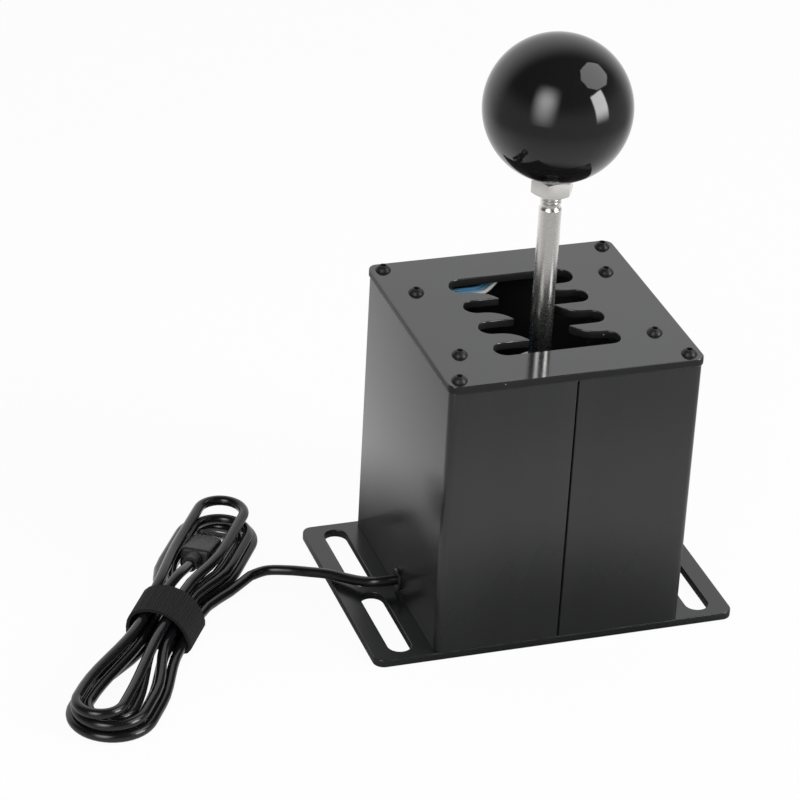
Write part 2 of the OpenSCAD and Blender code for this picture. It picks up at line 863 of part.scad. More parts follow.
// Lever, which swings on the axle in the yoke
module lever_hub() color("silver")
    translate([0, lever_y, 0])
        difference() {
            translate([-hub_x, -hub_y, pivot_z - hub_down])
                cube([2 * hub_x, 2 * hub_y, hub_up + hub_down]);
            translate([0, 0, pivot_z])
                rotate([90, 0, 0])
                    cylinder(r = bush_r + fit, h = 2 * hub_y + 2 * past, center = true);
            translate([0, 0, pivot_z + hub_seat])
                cylinder(d = rod_d + 2 * fit, h = hub_up);
            for (z = hub_screw_z)
                translate([-hub_x - past, 0, z])
                    rotate([0, 90, 0])
                        cylinder(d = m4 + 2 * fit, h = hub_x + past);
        }

module hub_bushes() color("goldenrod")
    for (s = [-1, 1])
        translate([0, lever_y + s * hub_y / 2, pivot_z])
            rotate([90, 0, 0])
                difference() {
                    cylinder(r = bush_r, h = hub_y - 2 * tip_gap, center = true);
                    cylinder(d = axle_d + 2 * fit, h = hub_y + 2 * past, center = true);
                }

module hub_screws() color([0.05, 0.05, 0.05])
    for (z = hub_screw_z)
        translate([-hub_x + tip_gap, lever_y, z])
            rotate([0, 90, 0])
                difference() {
                    cylinder(d = m4, h = hub_x - tip_gap - rod_d / 2 - fit);
                    translate([0, 0, -past])
                        cylinder(d = m4 / 2, h = past + m4 * socket_depth, $fn = 6);
                }

shoulder_chamfer = 0.8;
module lever_rod() color([0.75, 0.75, 0.74])
    translate([0, lever_y, 0]) {
        foot = pivot_z + hub_seat + fit;
        translate([0, 0, foot])
            cylinder(d = rod_d, h = shoulder_z - shoulder_chamfer - foot);
        translate([0, 0, shoulder_z - shoulder_chamfer])
            cylinder(d1 = rod_d, d2 = neck_d, h = shoulder_chamfer);
        translate([0, 0, shoulder_z - shoulder_chamfer])
            cylinder(d = neck_d, h = knob_low + insert_depth - 2 * past - shoulder_z + shoulder_chamfer);
    }

module magnet_collar() color("silver")
    translate([0, lever_y, collar_top - collar_len])
        difference() {
            cylinder(d = magnet_collar_d, h = collar_len);
            translate([0, 0, -past])
                cylinder(d = rod_d + 2 * fit, h = collar_len + 2 * past);
            for (s = [-1, 1])
                translate([s * (magnet_collar_d / 2 - magnet_depth), 0, collar_len / 2])
                    rotate([0, s * 90, 0])
                        cylinder(d = magnet_d + 2 * fit, h = magnet_depth + past);
        }

module magnets() color([0.6, 0.6, 0.62])
    translate([0, lever_y, collar_top - collar_len / 2])
        for (s = [-1, 1])
            translate([s * (magnet_collar_d / 2 - magnet_depth + fit), 0, 0])
                rotate([0, s * 90, 0])
                    cylinder(d = magnet_d, h = magnet_depth - tip_gap);

// A hexagon whose corners are turned off at both faces
nut_face = 0.88;
module jam_nut() color([0.8, 0.8, 0.78])
    translate([0, lever_y, nut_z])
        difference() {
            face_d = nut_d * nut_face;
            middle_d = face_d + 2 * nut_h;
            intersection() {
                cylinder(d = nut_d, h = nut_h, $fn = 6);
                union() {
                    cylinder(d1 = face_d, d2 = middle_d, h = nut_h / 2);
                    translate([0, 0, nut_h / 2])
                        cylinder(d1 = middle_d, d2 = face_d, h = nut_h / 2);
                }
            }
            translate([0, 0, -past])
                cylinder(d = neck_d + 2 * fit, h = nut_h + 2 * past);
        }

module knob_insert() color("goldenrod")
    translate([0, lever_y, knob_low])
        difference() {
            union() {
                translate([0, 0, -collar_h])
                    cylinder(d = knob_flat_d, h = collar_h);
                cylinder(d = insert_d, h = insert_depth);
            }
            translate([0, 0, -collar_h - past])
                cylinder(d = neck_d + 2 * fit, h = collar_h + insert_depth);
        }

module knob() color([0.03, 0.03, 0.03])
    translate([0, lever_y, 0])
        difference() {
            translate([0, 0, knob_z])
                sphere(d = knob_d);
            translate([0, 0, knob_low - knob_d])
                cylinder(d = knob_d, h = knob_d);
            translate([0, 0, knob_low - past])
                cylinder(d = insert_d + 2 * fit, h = insert_depth + past + fit);
        }

// The hank, in its own frame: X along the runs towards the upper fold, Y across, Z up
function ramp(x) = let (c = max(0, min(1, x))) c * c * (3 - 2 * c);
function climb(k, part) = ramp((k - part[0]) / part[1]);
function layer(k) = climb(k, first_climb) + climb(k, second_climb);
function spread(q, rate) = q < 1 ? 0 : (1 - cos(min(180, rate * (q - 1)))) / 2;
function along(q, run) = q < 1 ? neck * q : neck + (run - neck) * (q - 1) / 2;

// A run, q from 0 at the strap to 3 at the fold; a fold, a from 0 to 180 degrees
function run_at(q, turn, narrow, side, z) =
    let (wide = turn[2] + side * turn[1], open = spread(q, turn[3]))
    [along(q, turn[0]), narrow + (wide - narrow) * open, z + strap_lift * (1 - open)];
function fold_at(a, turn, side, z) =
    [turn[0] + turn[1] * sin(a), turn[2] + side * turn[1] * cos(a), z];
function down(p) = [-p[0], p[1], p[2]];

function loop_at(k) =
    let (
        u = (k + rings) % rings,
        turn = floor(k / rings),
        n = max(0, turn),
        z = lead_r + fit + layer_h * layer(k),
        low = low_turns[n],
        up = up_turns[turn + 1],
        left = left_strands[n],
        right = right_strands[u > 12 ? turn + 1 : n]
    )
    u <= 3 ? down(run_at(u, low, -right, -1, z))
    : u <= 9 ? down(fold_at(30 * (u - 3), low, -1, z))
    : u <= 12 ? down(run_at(12 - u, low, left, 1, z))
    : u <= 15 ? run_at(u - 12, up, left, 1, z)
    : u <= 21 ? fold_at(30 * (u - 15), up, 1, z)
    : run_at(24 - u, up, -right, -1, z);

plug_dir = [cos(plug_tilt), 0, -sin(plug_tilt)];
loops = [for (k = [first_ring : last_ring]) loop_at(k)];
hank_in = loops[0] + lead_d * unit(loops[0] - loops[1]);
hank_out = [plug_at - lead_d * plug_dir, plug_at];
hank_path = concat([hank_in], loops, plug_lead, hank_out);

function hank_world(p) = [
    hank_at[0] + p[0] * cos(hank_turn) - p[1] * sin(hank_turn),
    hank_at[1] + p[0] * sin(hank_turn) + p[1] * cos(hank_turn),
    p[2]
];
hank_reach = hank_in + lead_d * unit(hank_in - loops[0]);
free_bends = smooth(concat(free_route, [hank_world(hank_reach)]), 2);
free_path = concat([lead_exit], free_bends, [hank_world(hank_in)]);

least_gap = min([
    for (i = [0 : len(hank_path) - 1], j = [i + 8 : 1 : len(hank_path) - 1])
        norm(hank_path[i] - hank_path[j])
]) - lead_d;

module in_hank() {
    translate([hank_at[0], hank_at[1], 0])
        rotate(hank_turn)
            children();
}

module usb_cable() color([0.03, 0.03, 0.03])
    tube(free_path, lead_r, lead_sides);

hank_sides = 6;
module usb_cable_hank() color([0.03, 0.03, 0.03]) {
    echo(least_gap = least_gap, hank_length = path_len(hank_path), free_length = path_len(free_path));
    in_hank()
        tube(hank_path, lead_r, hank_sides);
}

strap_r = lead_r + body_gap;
strap_bulge = 0.7;
strap_pins = [
    [left_strands[0], low_z],
    [left_strands[0] + strap_bulge, low_z + 0.85 * layer_h],
    [left_strands[3], low_z + 1.65 * layer_h],
    [left_strands[4], top_z + strap_bulge / 2],
    [0, top_z + 1.5 * strap_bulge],
    [-right_strands[4], top_z + strap_bulge / 2],
    [-right_strands[0] + 0.55 * loop_step, low_z + 1.2 * layer_h],
    [-right_strands[0], low_z]
];
strap_sides = len(strap_pins);

// The strap pulled tight round the outermost strands
module strap_2d(grow) {
    r = strap_r + grow;
    for (pin = strap_pins)
        translate(pin)
            circle(r);
    polygon([
        for (i = [0 : strap_sides - 1])
            let (
                a = strap_pins[i],
                b = strap_pins[(i + 1) % strap_sides],
                out = r * [b[1] - a[1], a[0] - b[0]] / norm(b - a)
            )
            each [a + out, b + out]
    ]);
}

module cable_tie() color([0.05, 0.05, 0.05])
    in_hank()
        translate([-tie_w / 2, 0, 0])
            rotate([90, 0, 90])
                linear_extrude(tie_w) difference() {
                    strap_2d(tie_t);
                    strap_2d(0);
                }

module in_plug() {
    in_hank()
        translate(plug_at)
            rotate([0, 90 + plug_tilt, 0])
                rotate(90)
                    children();
}

// The root of the steel shell sits in a pocket in the grip
module usb_plug_grip() color([0.03, 0.03, 0.03])
    in_plug()
        difference() {
            union() {
                cylinder(d1 = relief_d[0], d2 = relief_d[1], h = relief_len);
                translate([0, 0, relief_len])
                    linear_extrude(grip_len)
                        plate_2d(grip[0], grip[1], grip_r);
            }
            translate([0, 0, relief_len + grip_len - root_len - fit])
                linear_extrude(root_len + past)
                    square([root_w + 2 * fit, usb_shell[1] + 2 * fit], center = true);
        }

module usb_plug_shell() color([0.8, 0.8, 0.8])
    in_plug()
        translate([0, 0, relief_len + grip_len])
            difference() {
                union() {
                    linear_extrude(shell_len)
                        square(usb_shell, center = true);
                    translate([0, 0, -root_len])
                        linear_extrude(root_len + past)
                            square([root_w, usb_shell[1]], center = true);
                }
                translate([0, tongue_t / 2, past])
                    linear_extrude(shell_len)
                        square(usb_mouth, center = true);
            }

base_plate();
left_shell();
right_shell();
gate_plate();
corner_screws();
board_screws();
base_screws();
left_sensor_board();
right_sensor_board();
hall_sensors();
board_standoffs();
standoff_screws();
left_bearing_block();
right_bearing_block();
block_screws();
trunnion_bushes();
centring_springs();
spring_posts();
controller_board();
controller_chips();
board_spacers();
controller_screws();
cable_bush();
inner_cable();
cable_saddle();
saddle_screw();
link_wires_blue();
link_wires_white();
controller_wires();
select_yoke();
trunnion_pins();
shift_axle();
axle_nut();
friction_washers();
lever_hub();
hub_bushes();
hub_screws();
lever_rod();
magnet_collar();
magnets();
jam_nut();
knob_insert();
knob();
usb_cable();
usb_cable_hank();
cable_tie();
usb_plug_grip();
usb_plug_shell();
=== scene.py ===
import math

import bmesh
import bpy
from mathutils import Matrix, Quaternion, Vector


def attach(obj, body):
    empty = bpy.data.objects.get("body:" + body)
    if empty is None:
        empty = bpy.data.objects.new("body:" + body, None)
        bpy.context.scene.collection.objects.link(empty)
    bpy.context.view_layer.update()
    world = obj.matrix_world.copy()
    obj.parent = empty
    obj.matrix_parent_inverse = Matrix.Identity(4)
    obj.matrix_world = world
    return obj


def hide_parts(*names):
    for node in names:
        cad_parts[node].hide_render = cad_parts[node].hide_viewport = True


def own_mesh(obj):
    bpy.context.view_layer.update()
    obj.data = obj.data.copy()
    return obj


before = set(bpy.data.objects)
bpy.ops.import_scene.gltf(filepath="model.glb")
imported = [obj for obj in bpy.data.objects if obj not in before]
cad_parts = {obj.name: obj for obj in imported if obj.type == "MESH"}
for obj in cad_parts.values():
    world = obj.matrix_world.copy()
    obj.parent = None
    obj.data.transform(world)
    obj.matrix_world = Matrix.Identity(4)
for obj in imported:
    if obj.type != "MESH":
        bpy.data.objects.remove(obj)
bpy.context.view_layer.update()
scene = bpy.context.scene
mm = 0.001

# The camera. A long lens in front of the box and a little to its left, looking down on it
# from a stand that leans a few degrees.
camera_aim = Vector((-41.04, 19.97, 68.90)) * mm
camera_distance = 1258.66 * mm
camera_azimuth = math.radians(-19.69)
camera_elevation = math.radians(29.17)
camera_roll = math.radians(3.15)
toward_camera = Vector((
    math.sin(camera_azimuth) * math.cos(camera_elevation),
    -math.cos(camera_azimuth) * math.cos(camera_elevation),
    math.sin(camera_elevation),
))
camera = bpy.data.objects.new("camera", bpy.data.cameras.new("camera"))
camera.data.lens = 157.04
camera.data.sensor_width = 36
camera.rotation_mode = "QUATERNION"
level_view = (-toward_camera).to_track_quat("-Z", "Y")
camera.rotation_quaternion = level_view @ Quaternion((0, 0, 1), camera_roll)
camera.location = camera_aim + toward_camera * camera_distance
scene.collection.objects.link(camera)
scene.camera = camera

# The lead. A round flexible PVC lead leaves the left shell through a bush, crosses the flange
# and the table, and is folded into a hank of five turns, wound inwards and then outwards. Two
# turns lie on the table, two on them and one on top, all drawn in where the strap holds them.
lead_d = 3.8
lead_r = lead_d / 2
table_gap = 0.05
lead_exit = Vector((-47.5, -4, 8))
free_route = [
    (-51.3, -4, 8),
    (-55.4, -2.9, 7.6),
    (-59.6, 0.6, 6.5),
    (-64, 5.4, 5.6),
    (-69, 10, 5.2),
    (-74.5, 14.3, 4.2),
    (-80.8, 19, 3),
    (-88.4, 22.4, 2),
]
hank_at = Vector((-136.3, -7.9, 0))
hank_turn = math.radians(57.5)
hank_frame = Matrix.Translation(hank_at) @ Matrix.Rotation(hank_turn, 4, "Z")
neck = 12
strap_lift = 1.5
layer_rise = 4.2
low_turns = [
    (54, 14.2, 0, 120), (54, 10, 0, 120), (55.5, 7.9, 0, 90), (55.5, 12.1, 0, 120), (59.5, 8.2, 2.52, 100),
]
high_turns = [
    (66, 18, 0, 150), (66, 13.8, 0, 150), (66, 9.18, 0.42, 150), (64, 10.44, -2.1, 150), (72, 8.6, 0, 150),
]
left_strands = [6.3, 2.1, 2.1, 6.3, 4.2]
right_strands = [10.5, 6.3, 2.1, 6.3, 4.2]
neck_z = lead_r + table_gap + strap_lift
climbs = [(44, 4), (83.8, 1.8)]
loop_marks = 24
half_marks = loop_marks // 2
fold_from, fold_to = 3, 9
lead_in_marks = 2
last_mark = 4 * loop_marks + half_marks
mark_step = 0.25
path_steps = 8

plug_at = Vector((34, 0.2, 9.95))
plug_tilt = math.radians(12.92)
plug_way = Vector((math.cos(plug_tilt), 0, -math.sin(plug_tilt)))
plug_lead = [Vector((12, 2.2, 12.05)), Vector((22, 0.9, 12.25))]


def ramp(x):
    x = min(max(x, 0), 1)
    return x * x * (3 - 2 * x)


def layer(mark):
    return sum(ramp((mark - start) / marks) for start, marks in climbs)


def spread(q, rate):
    return 0 if q < 1 else (1 - math.cos(min(math.pi, math.radians(rate) * (q - 1)))) / 2


def along(q, run):
    return neck * q if q < 1 else neck + (run - neck) * (q - 1) / (fold_from - 1)


def loop_at(mark):
    """A place on the turns: 24 marks each, from the strap round the lower fold and the upper one."""
    u = mark % loop_marks
    turn = math.floor(mark / loop_marks)
    first = max(turn, 0)
    low = u <= half_marks
    end = -1 if low else 1
    run, fold, shift, rate = low_turns[first] if low else high_turns[turn + 1]
    z = lead_r + table_gap + layer_rise * layer(mark)
    v = u if low else u - half_marks
    if fold_from < v < fold_to:
        bend = math.pi * (v - fold_from) / (fold_to - fold_from)
        return Vector((end * (run + fold * math.sin(bend)), shift + end * fold * math.cos(bend), z))
    side = end if v <= fold_from else -end
    q = v if v <= fold_from else half_marks - v
    narrow = left_strands[first] if side > 0 else -right_strands[first if low else turn + 1]
    opened = spread(q, rate)
    out = narrow + (shift + side * fold - narrow) * opened
    return Vector((end * along(q, run), out, z + strap_lift * (1 - opened)))


def smooth_path(points):
    """A smooth line through given points."""
    points = [Vector(point) for point in points]
    last = len(points) - 1
    path = []
    for i in range(last):
        a, b = points[max(i - 1, 0)], points[i]
        c, d = points[i + 1], points[min(i + 2, last)]
        for k in range(path_steps):
            t = k / path_steps
            bend = (2 * a - 5 * b + 4 * c - d) * t * t + (3 * b - a - 3 * c + d) * t * t * t
            path.append((2 * b + (c - a) * t + bend) / 2)
    return path + [points[-1]]


def tube_curve(name, paths, radius, sides=3):
    curve = bpy.data.curves.new(name, "CURVE")
    curve.dimensions = "3D"
    curve.bevel_depth = radius * mm
    curve.bevel_resolution = sides
    curve.use_fill_caps = True
    for path in paths:
        spline = curve.splines.new("POLY")
        spline.points.add(len(path) - 1)
        for point, place in zip(spline.points, path):
            point.co = (*(place * mm), 1)
    return curve


def add_tube(name, paths, radius, material, slot, *nodes, sides=3):
    """A tube along each path, fixed to the housing."""
    curve = tube_curve(name, paths, radius, sides)
    curve.materials.append(material)
    tube = bpy.data.objects.new(name, curve)
    scene.collection.objects.link(tube)
    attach(tube, "housing")
    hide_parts(*nodes)
    return tube


def add_node(tree, kind, inputs=None, **settings):
    made = tree.nodes.new("ShaderNode" + kind)
    for key, value in settings.items():
        setattr(made, key, value)
    for key, value in (inputs or {}).items():
        if isinstance(value, bpy.types.NodeSocket):
            tree.links.new(value, made.inputs[key])
        else:
            made.inputs[key].default_value = value
    return made


def worked(tree, operation, *values):
    return add_node(tree, "Math", dict(enumerate(values)), operation=operation).outputs[0]


def start_group(name, inputs, outputs):
    group = bpy.data.node_groups.new(name, "ShaderNodeTree")
    for label, value in inputs.items():
        kind = "NodeSocketVector" if isinstance(value, tuple) else "NodeSocketFloat"
        group.interface.new_socket(label, in_out="INPUT", socket_type=kind).default_value = value
    for label in outputs:
        group.interface.new_socket(label, in_out="OUTPUT", socket_type="NodeSocketFloat")
    return group, group.nodes.new("NodeGroupInput").outputs, group.nodes.new("NodeGroupOutput").inputs


def ranged(tree, value, low, high, start=0.0, end=1.0, easing="LINEAR"):
    limits = {"Value": value, "From Min": start, "From Max": end, "To Min": low, "To Max": high}
    return add_node(tree, "MapRange", limits, interpolation_type=easing).outputs["Result"]


def blended(tree, share, first, second):
    colours = [c if isinstance(c, bpy.types.NodeSocket) else (*c, 1) for c in (first, second)]
    mixer = add_node(tree, "Mix", {0: share, 6: colours[0], 7: colours[1]}, data_type="RGBA")
    return mixer.outputs[2]


def roughened(tree, shader, height, depth):
    bump = add_node(tree, "Bump", {"Height": height, "Strength": 1.0, "Distance": depth * mm})
    tree.links.new(bump.outputs["Normal"], shader.inputs["Normal"])


def new_material(name):
    material = bpy.data.materials.new(name)
    material.use_nodes = True
    return material, material.node_tree, material.node_tree.nodes["Principled BSDF"]


# Surface grain: fine unevenness and broad patches, drawn out along a direction by the stretch
patch_share = 0.05
grain, given, result = start_group(
    "surface grain", {"Scale": 500.0, "Stretch": (1.0, 1.0, 1.0)}, ["Height", "Patches"]
)
where = add_node(grain, "TexCoord").outputs["Object"]
drawn = add_node(grain, "VectorMath", {0: where, 1: given["Stretch"]}, operation="MULTIPLY").outputs[0]
fine = add_node(grain, "TexNoise", {"Vector": drawn, "Scale": given["Scale"], "Detail": 4.0})
broad_scale = worked(grain, "MULTIPLY", given["Scale"], patch_share)
broad = add_node(grain, "TexNoise", {"Vector": drawn, "Scale": broad_scale, "Detail": 3.0})
grain.links.new(fine.outputs[0], result["Height"])
grain.links.new(broad.outputs[0], result["Patches"])

# Dust: single pale specks, in the share of the cells that is asked for
dust, given, result = start_group("dust specks", {"Scale": 300.0, "Share": 0.1, "Size": 0.08}, ["Mask"])
where = add_node(dust, "TexCoord").outputs["Object"]
cells = add_node(dust, "TexVoronoi", {"Vector": where, "Scale": given["Scale"]})
chance = add_node(dust, "SeparateColor", {"Color": cells.outputs["Color"]}).outputs[0]
chosen = worked(dust, "LESS_THAN", chance, given["Share"])
inside = worked(dust, "LESS_THAN", cells.outputs["Distance"], given["Size"])
dust.links.new(worked(dust, "MULTIPLY", inside, chosen), result["Mask"])

jacket, tree, shader = new_material("lead jacket")
texture = add_node(tree, "Group", {"Scale": 900.0}, node_tree=grain)
specks = add_node(tree, "Group", {"Scale": 260.0, "Share": 0.08, "Size": 0.05}, node_tree=dust)
jacket_black = blended(tree, texture.outputs["Patches"], (0.005, 0.005, 0.006), (0.009, 0.009, 0.010))
jacket_dusty = blended(tree, specks.outputs["Mask"], jacket_black, (0.25, 0.25, 0.24))
tree.links.new(jacket_dusty, shader.inputs["Base Color"])
tree.links.new(ranged(tree, texture.outputs["Patches"], 0.13, 0.24), shader.inputs["Roughness"])
shader.inputs["IOR"].default_value = 1.5
roughened(tree, shader, texture.outputs["Height"], 0.02)

first_step, last_step = int(-lead_in_marks / mark_step), int(last_mark / mark_step)
loops = [loop_at(step * mark_step) for step in range(first_step, last_step + 1)]
hank_in = loops[0] + lead_d * (loops[0] - loop_at(-1)).normalized()
hank_reach = hank_in + lead_d * (hank_in - loops[0]).normalized()
to_plug = smooth_path(
    [loop_at(last_mark - 1), loop_at(last_mark), *plug_lead, plug_at - lead_d * plug_way, plug_at]
)
free_path = [lead_exit] + smooth_path([*free_route, hank_frame @ hank_reach])
hank_path = [hank_in] + loops + to_plug[path_steps + 1:]
lead_path = free_path + [hank_frame @ place for place in hank_path]
lead = add_tube("lead", [lead_path], lead_r, jacket, "lead_jacket", "usb_cable", "usb_cable_hank", sides=6)

# The strap. A strip of woven hook and loop tape, wrapped tight round the hank with its end
# pressed down on top. Fine ribs cross it, and its edges are heat cut.
strap_w = 17
strap_t = 1.15
strap_play = 0.35
strap_pitch = 0.9
strap_rows = 12
strap_cuts, strap_facet = 6, 2
strap_pins = [
    (6.3, neck_z), (6.9, 5.4), (7, 7.4), (6.75, 9.2), (6.2, 10.6), (5.1, 11.7), (3.3, 12.5),
    (1, 12.85), (-1.4, 12.75), (-3.7, 12.2), (-5.9, 11), (-7.8, 9.2), (-9.3, 6.8), (-10.5, neck_z),
]


def add_piece(name, bm, materials, body, slot, *nodes, sharp=35):
    """Puts a finished mesh in the scene, smooth but for its corners, on the body that carries it."""
    for face in bm.faces:
        face.smooth = True
    for edge in bm.edges:
        edge.smooth = edge.calc_face_angle(0) < math.radians(sharp)
    mesh = bpy.data.meshes.new(name)
    bm.to_mesh(mesh)
    bm.free()
    for material in materials:
        mesh.materials.append(material)
    piece = bpy.data.objects.new(name, mesh)
    scene.collection.objects.link(piece)
    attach(piece, body)
    if nodes:
        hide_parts(*nodes)
    return piece


def wrap_outline(pins, radius, arc_steps=3):
    """The line of a tape pulled tight round a row of equal rods."""
    outline = []
    for i, pin in enumerate(pins):
        before, after = pins[i - 1], pins[(i + 1) % len(pins)]
        first = math.atan2(before[0] - pin[0], pin[1] - before[1])
        second = math.atan2(pin[0] - after[0], after[1] - pin[1])
        turn = (second - first) % math.tau
        for k in range(arc_steps + 1):
            angle = first + turn * k / arc_steps
            outline.append((pin[0] + radius * math.cos(angle), pin[1] + radius * math.sin(angle)))
    return outline


strap_line = wrap_outline(strap_pins, lead_r + strap_play)
bm = bmesh.new()
round_way = bm.verts.layers.float.new("round_way")
cross_way = bm.verts.layers.float.new("cross_way")
ring = [bm.verts.new((-strap_w / 2 * mm, y * mm, z * mm)) for y, z in strap_line]
for before, vert in zip(ring, ring[1:]):
    vert[round_way] = before[round_way] + (vert.co - before.co).length / mm
edges = [bm.edges.new((ring[i - 1], ring[i])) for i in range(len(ring))]
long_edges = [edge for edge in edges if edge.calc_length() > strap_facet * mm]
bmesh.ops.subdivide_edges(bm, edges=long_edges, cuts=strap_cuts)
row = list(bm.edges)
for k in range(strap_rows):
    made = bmesh.ops.extrude_edge_only(bm, edges=row)["geom"]
    fresh = [item for item in made if isinstance(item, bmesh.types.BMVert)]
    row = [item for item in made if isinstance(item, bmesh.types.BMEdge)]
    row = [edge for edge in row if all(vert in fresh for vert in edge.verts)]
    bmesh.ops.translate(bm, verts=fresh, vec=(strap_w / strap_rows * mm, 0, 0))
for vert in bm.verts:
    vert[cross_way] = vert.co.x / mm
bmesh.ops.recalc_face_normals(bm, faces=bm.faces)
bmesh.ops.solidify(bm, geom=bm.faces, thickness=-strap_t * mm)
bmesh.ops.recalc_face_normals(bm, faces=bm.faces)
hank_place = Matrix.Translation(hank_at * mm) @ Matrix.Rotation(hank_turn, 4, "Z")
bmesh.ops.transform(bm, verts=bm.verts, matrix=hank_place)

tape, tree, shader = new_material("strap weave")
rib_turn = math.tau / strap_pitch
pick_turn = 1.6 * rib_turn
round_at = add_node(tree, "Attribute", attribute_name="round_way").outputs["Fac"]
cross_at = add_node(tree, "Attribute", attribute_name="cross_way").outputs["Fac"]
ribs = worked(tree, "SINE", worked(tree, "MULTIPLY", round_at, rib_turn))
picks = worked(tree, "SINE", worked(tree, "MULTIPLY", cross_at, pick_turn))
crossing = worked(tree, "MULTIPLY_ADD", ribs, picks, ribs)
thread = ranged(tree, crossing, 0.0, 1.0, -2.0, 2.0)
fuzz = add_node(tree, "Group", {"Scale": 2500.0}, node_tree=grain)
# Painted shade in the weave: the colour follows the ribs' relief, near black in its valleys and lighter on
# its crests
tape_black_painted_shade = blended(tree, thread, (0.001, 0.001, 0.001), (0.030, 0.030, 0.031))
tree.links.new(tape_black_painted_shade, shader.inputs["Base Color"])
tree.links.new(ranged(tree, fuzz.outputs["Height"], 0.65, 0.95), shader.inputs["Roughness"])
shader.inputs["Specular IOR Level"].default_value = 0.22
roughened(tree, shader, thread, 0.35)
strap = add_piece("strap", bm, [tape], "housing", "strap", "cable_tie", sharp=60)

# The plug. A moulded black grip with a ribbed tail, and a bright steel shell over a white tongue
# with four contacts. It is moulded on the end of the lead and lies in the upper loops.
tail_len, grip_len, shell_len = 6, 17, 11
grip_w, grip_h = 11.6, 8
shell_w, shell_h, shell_wall = 12, 4.5, 0.4
tongue_t = 1.8
tail_r, groove_r, rib_grow, rib_pitch, tail_ribs = 2.9, 2.6, 0.12, 1.4, 4
side_ribs, side_rib_pitch = 6, 1.8
plug_frame = (
    hank_place
    @ Matrix.Translation(plug_at * mm)
    @ Matrix.Rotation(math.pi / 2 + plug_tilt, 4, "Y")
    @ Matrix.Rotation(math.pi / 2, 4, "Z")
)


def turned(profile, steps=48):
    """A body of revolution about Z from a line of (radius, height) points."""
    bm = bmesh.new()
    verts = [bm.verts.new((radius * mm, 0, height * mm)) for radius, height in profile]
    edges = [bm.edges.new(pair) for pair in zip(verts, verts[1:])]
    bmesh.ops.spin(
        bm, geom=verts + edges, cent=(0, 0, 0), axis=(0, 0, 1), angle=math.tau, steps=steps, use_merge=True
    )
    bmesh.ops.remove_doubles(bm, verts=bm.verts, dist=0.001 * mm)
    bmesh.ops.recalc_face_normals(bm, faces=bm.faces)
    return bm


def block(low, high, edge, segments=3):
    """A box between two corners with rounded edges."""
    bm = bmesh.new()
    low, high = Vector(low) * mm, Vector(high) * mm
    bmesh.ops.create_cube(bm, size=1)
    bmesh.ops.scale(bm, verts=bm.verts, vec=high - low)
    bmesh.ops.translate(bm, verts=bm.verts, vec=(low + high) / 2)
    bmesh.ops.bevel(
        bm, geom=bm.edges[:], offset=edge * mm, segments=segments, profile=0.5, affect="EDGES", material=-1
    )
    return bm


def joined(*shapes):
    whole = bmesh.new()
    for shape in shapes:
        mesh = bpy.data.meshes.new("shape")
        shape.to_mesh(mesh)
        shape.free()
        whole.from_mesh(mesh)
        bpy.data.meshes.remove(mesh)
    return whole


def painted(bm, index):
    for face in bm.faces:
        face.material_index = index
    return bm


plug_top = tail_len + grip_len
tail_profile = [(0, 0), (tail_r, 0)]
for k in range(tail_ribs):
    rib_r, low = tail_r + rib_grow * k, rib_pitch * k
    tail_profile += [(rib_r, low + 0.8), (groove_r, low + 0.9)]
    tail_profile += [(groove_r, low + 1.3), (rib_r + 0.1, low + 1.4)]
tail_profile += [(3.5, tail_len + 1), (0, tail_len + 1)]
grip_half = grip_w / 2 - 0.25
grip_body = block((-grip_half, -grip_h / 2, tail_len), (grip_half, grip_h / 2, plug_top), 1.4, 5)
grip_sides = []
for side in (-1, 1):
    for k in range(side_ribs):
        x, z = side * (grip_w / 2 - 0.05), tail_len + 3 + side_rib_pitch * k
        grip_sides.append(block((x - 0.3, -2.4, z), (x + 0.3, 2.4, z + 1), 0.25, 2))
grip = joined(turned(tail_profile, 32), grip_body, *grip_sides)
bmesh.ops.transform(grip, verts=grip.verts, matrix=plug_frame)

moulded, tree, shader = new_material("moulded grip")
texture = add_node(tree, "Group", {"Scale": 2600.0}, node_tree=grain)
moulded_black = blended(tree, texture.outputs["Patches"], (0.010, 0.010, 0.011), (0.018, 0.018, 0.018))
tree.links.new(moulded_black, shader.inputs["Base Color"])
tree.links.new(ranged(tree, texture.outputs["Height"], 0.35, 0.6), shader.inputs["Roughness"])
roughened(tree, shader, texture.outputs["Height"], 0.04)
plug_grip = add_piece("plug_grip", grip, [moulded], "housing", "plug_plastic", "usb_plug_grip")

shell_case = block(
    (-shell_w / 2, -shell_h / 2, plug_top - 0.5), (shell_w / 2, shell_h / 2, plug_top + shell_len), 0.5
)
nose = [face for face in shell_case.faces if face.normal.z > 0.99]
bmesh.ops.inset_region(shell_case, faces=nose, thickness=(shell_wall - 0.25) * mm)
inner = bmesh.ops.extrude_face_region(shell_case, geom=nose)["geom"]
deep = [item for item in inner if isinstance(item, bmesh.types.BMVert)]
bmesh.ops.translate(shell_case, verts=deep, vec=(0, 0, (0.6 - shell_len) * mm))
bmesh.ops.delete(shell_case, geom=nose, context="FACES_ONLY")
tongue_y, tongue_half = -shell_h / 2 + 0.5, shell_w / 2 - 0.6
tongue_end = plug_top + shell_len - 0.8
contact_y = tongue_y + tongue_t
tongue = block((-tongue_half, tongue_y, plug_top), (tongue_half, contact_y, tongue_end), 0.2, 2)
contacts = []
for x in (-4.1, -1.7, 0.7, 3.1):
    low, high = (x, contact_y - 0.1, plug_top + 1), (x + 1, contact_y + 0.15, tongue_end - 0.8)
    contacts.append(block(low, high, 0.08, 2))
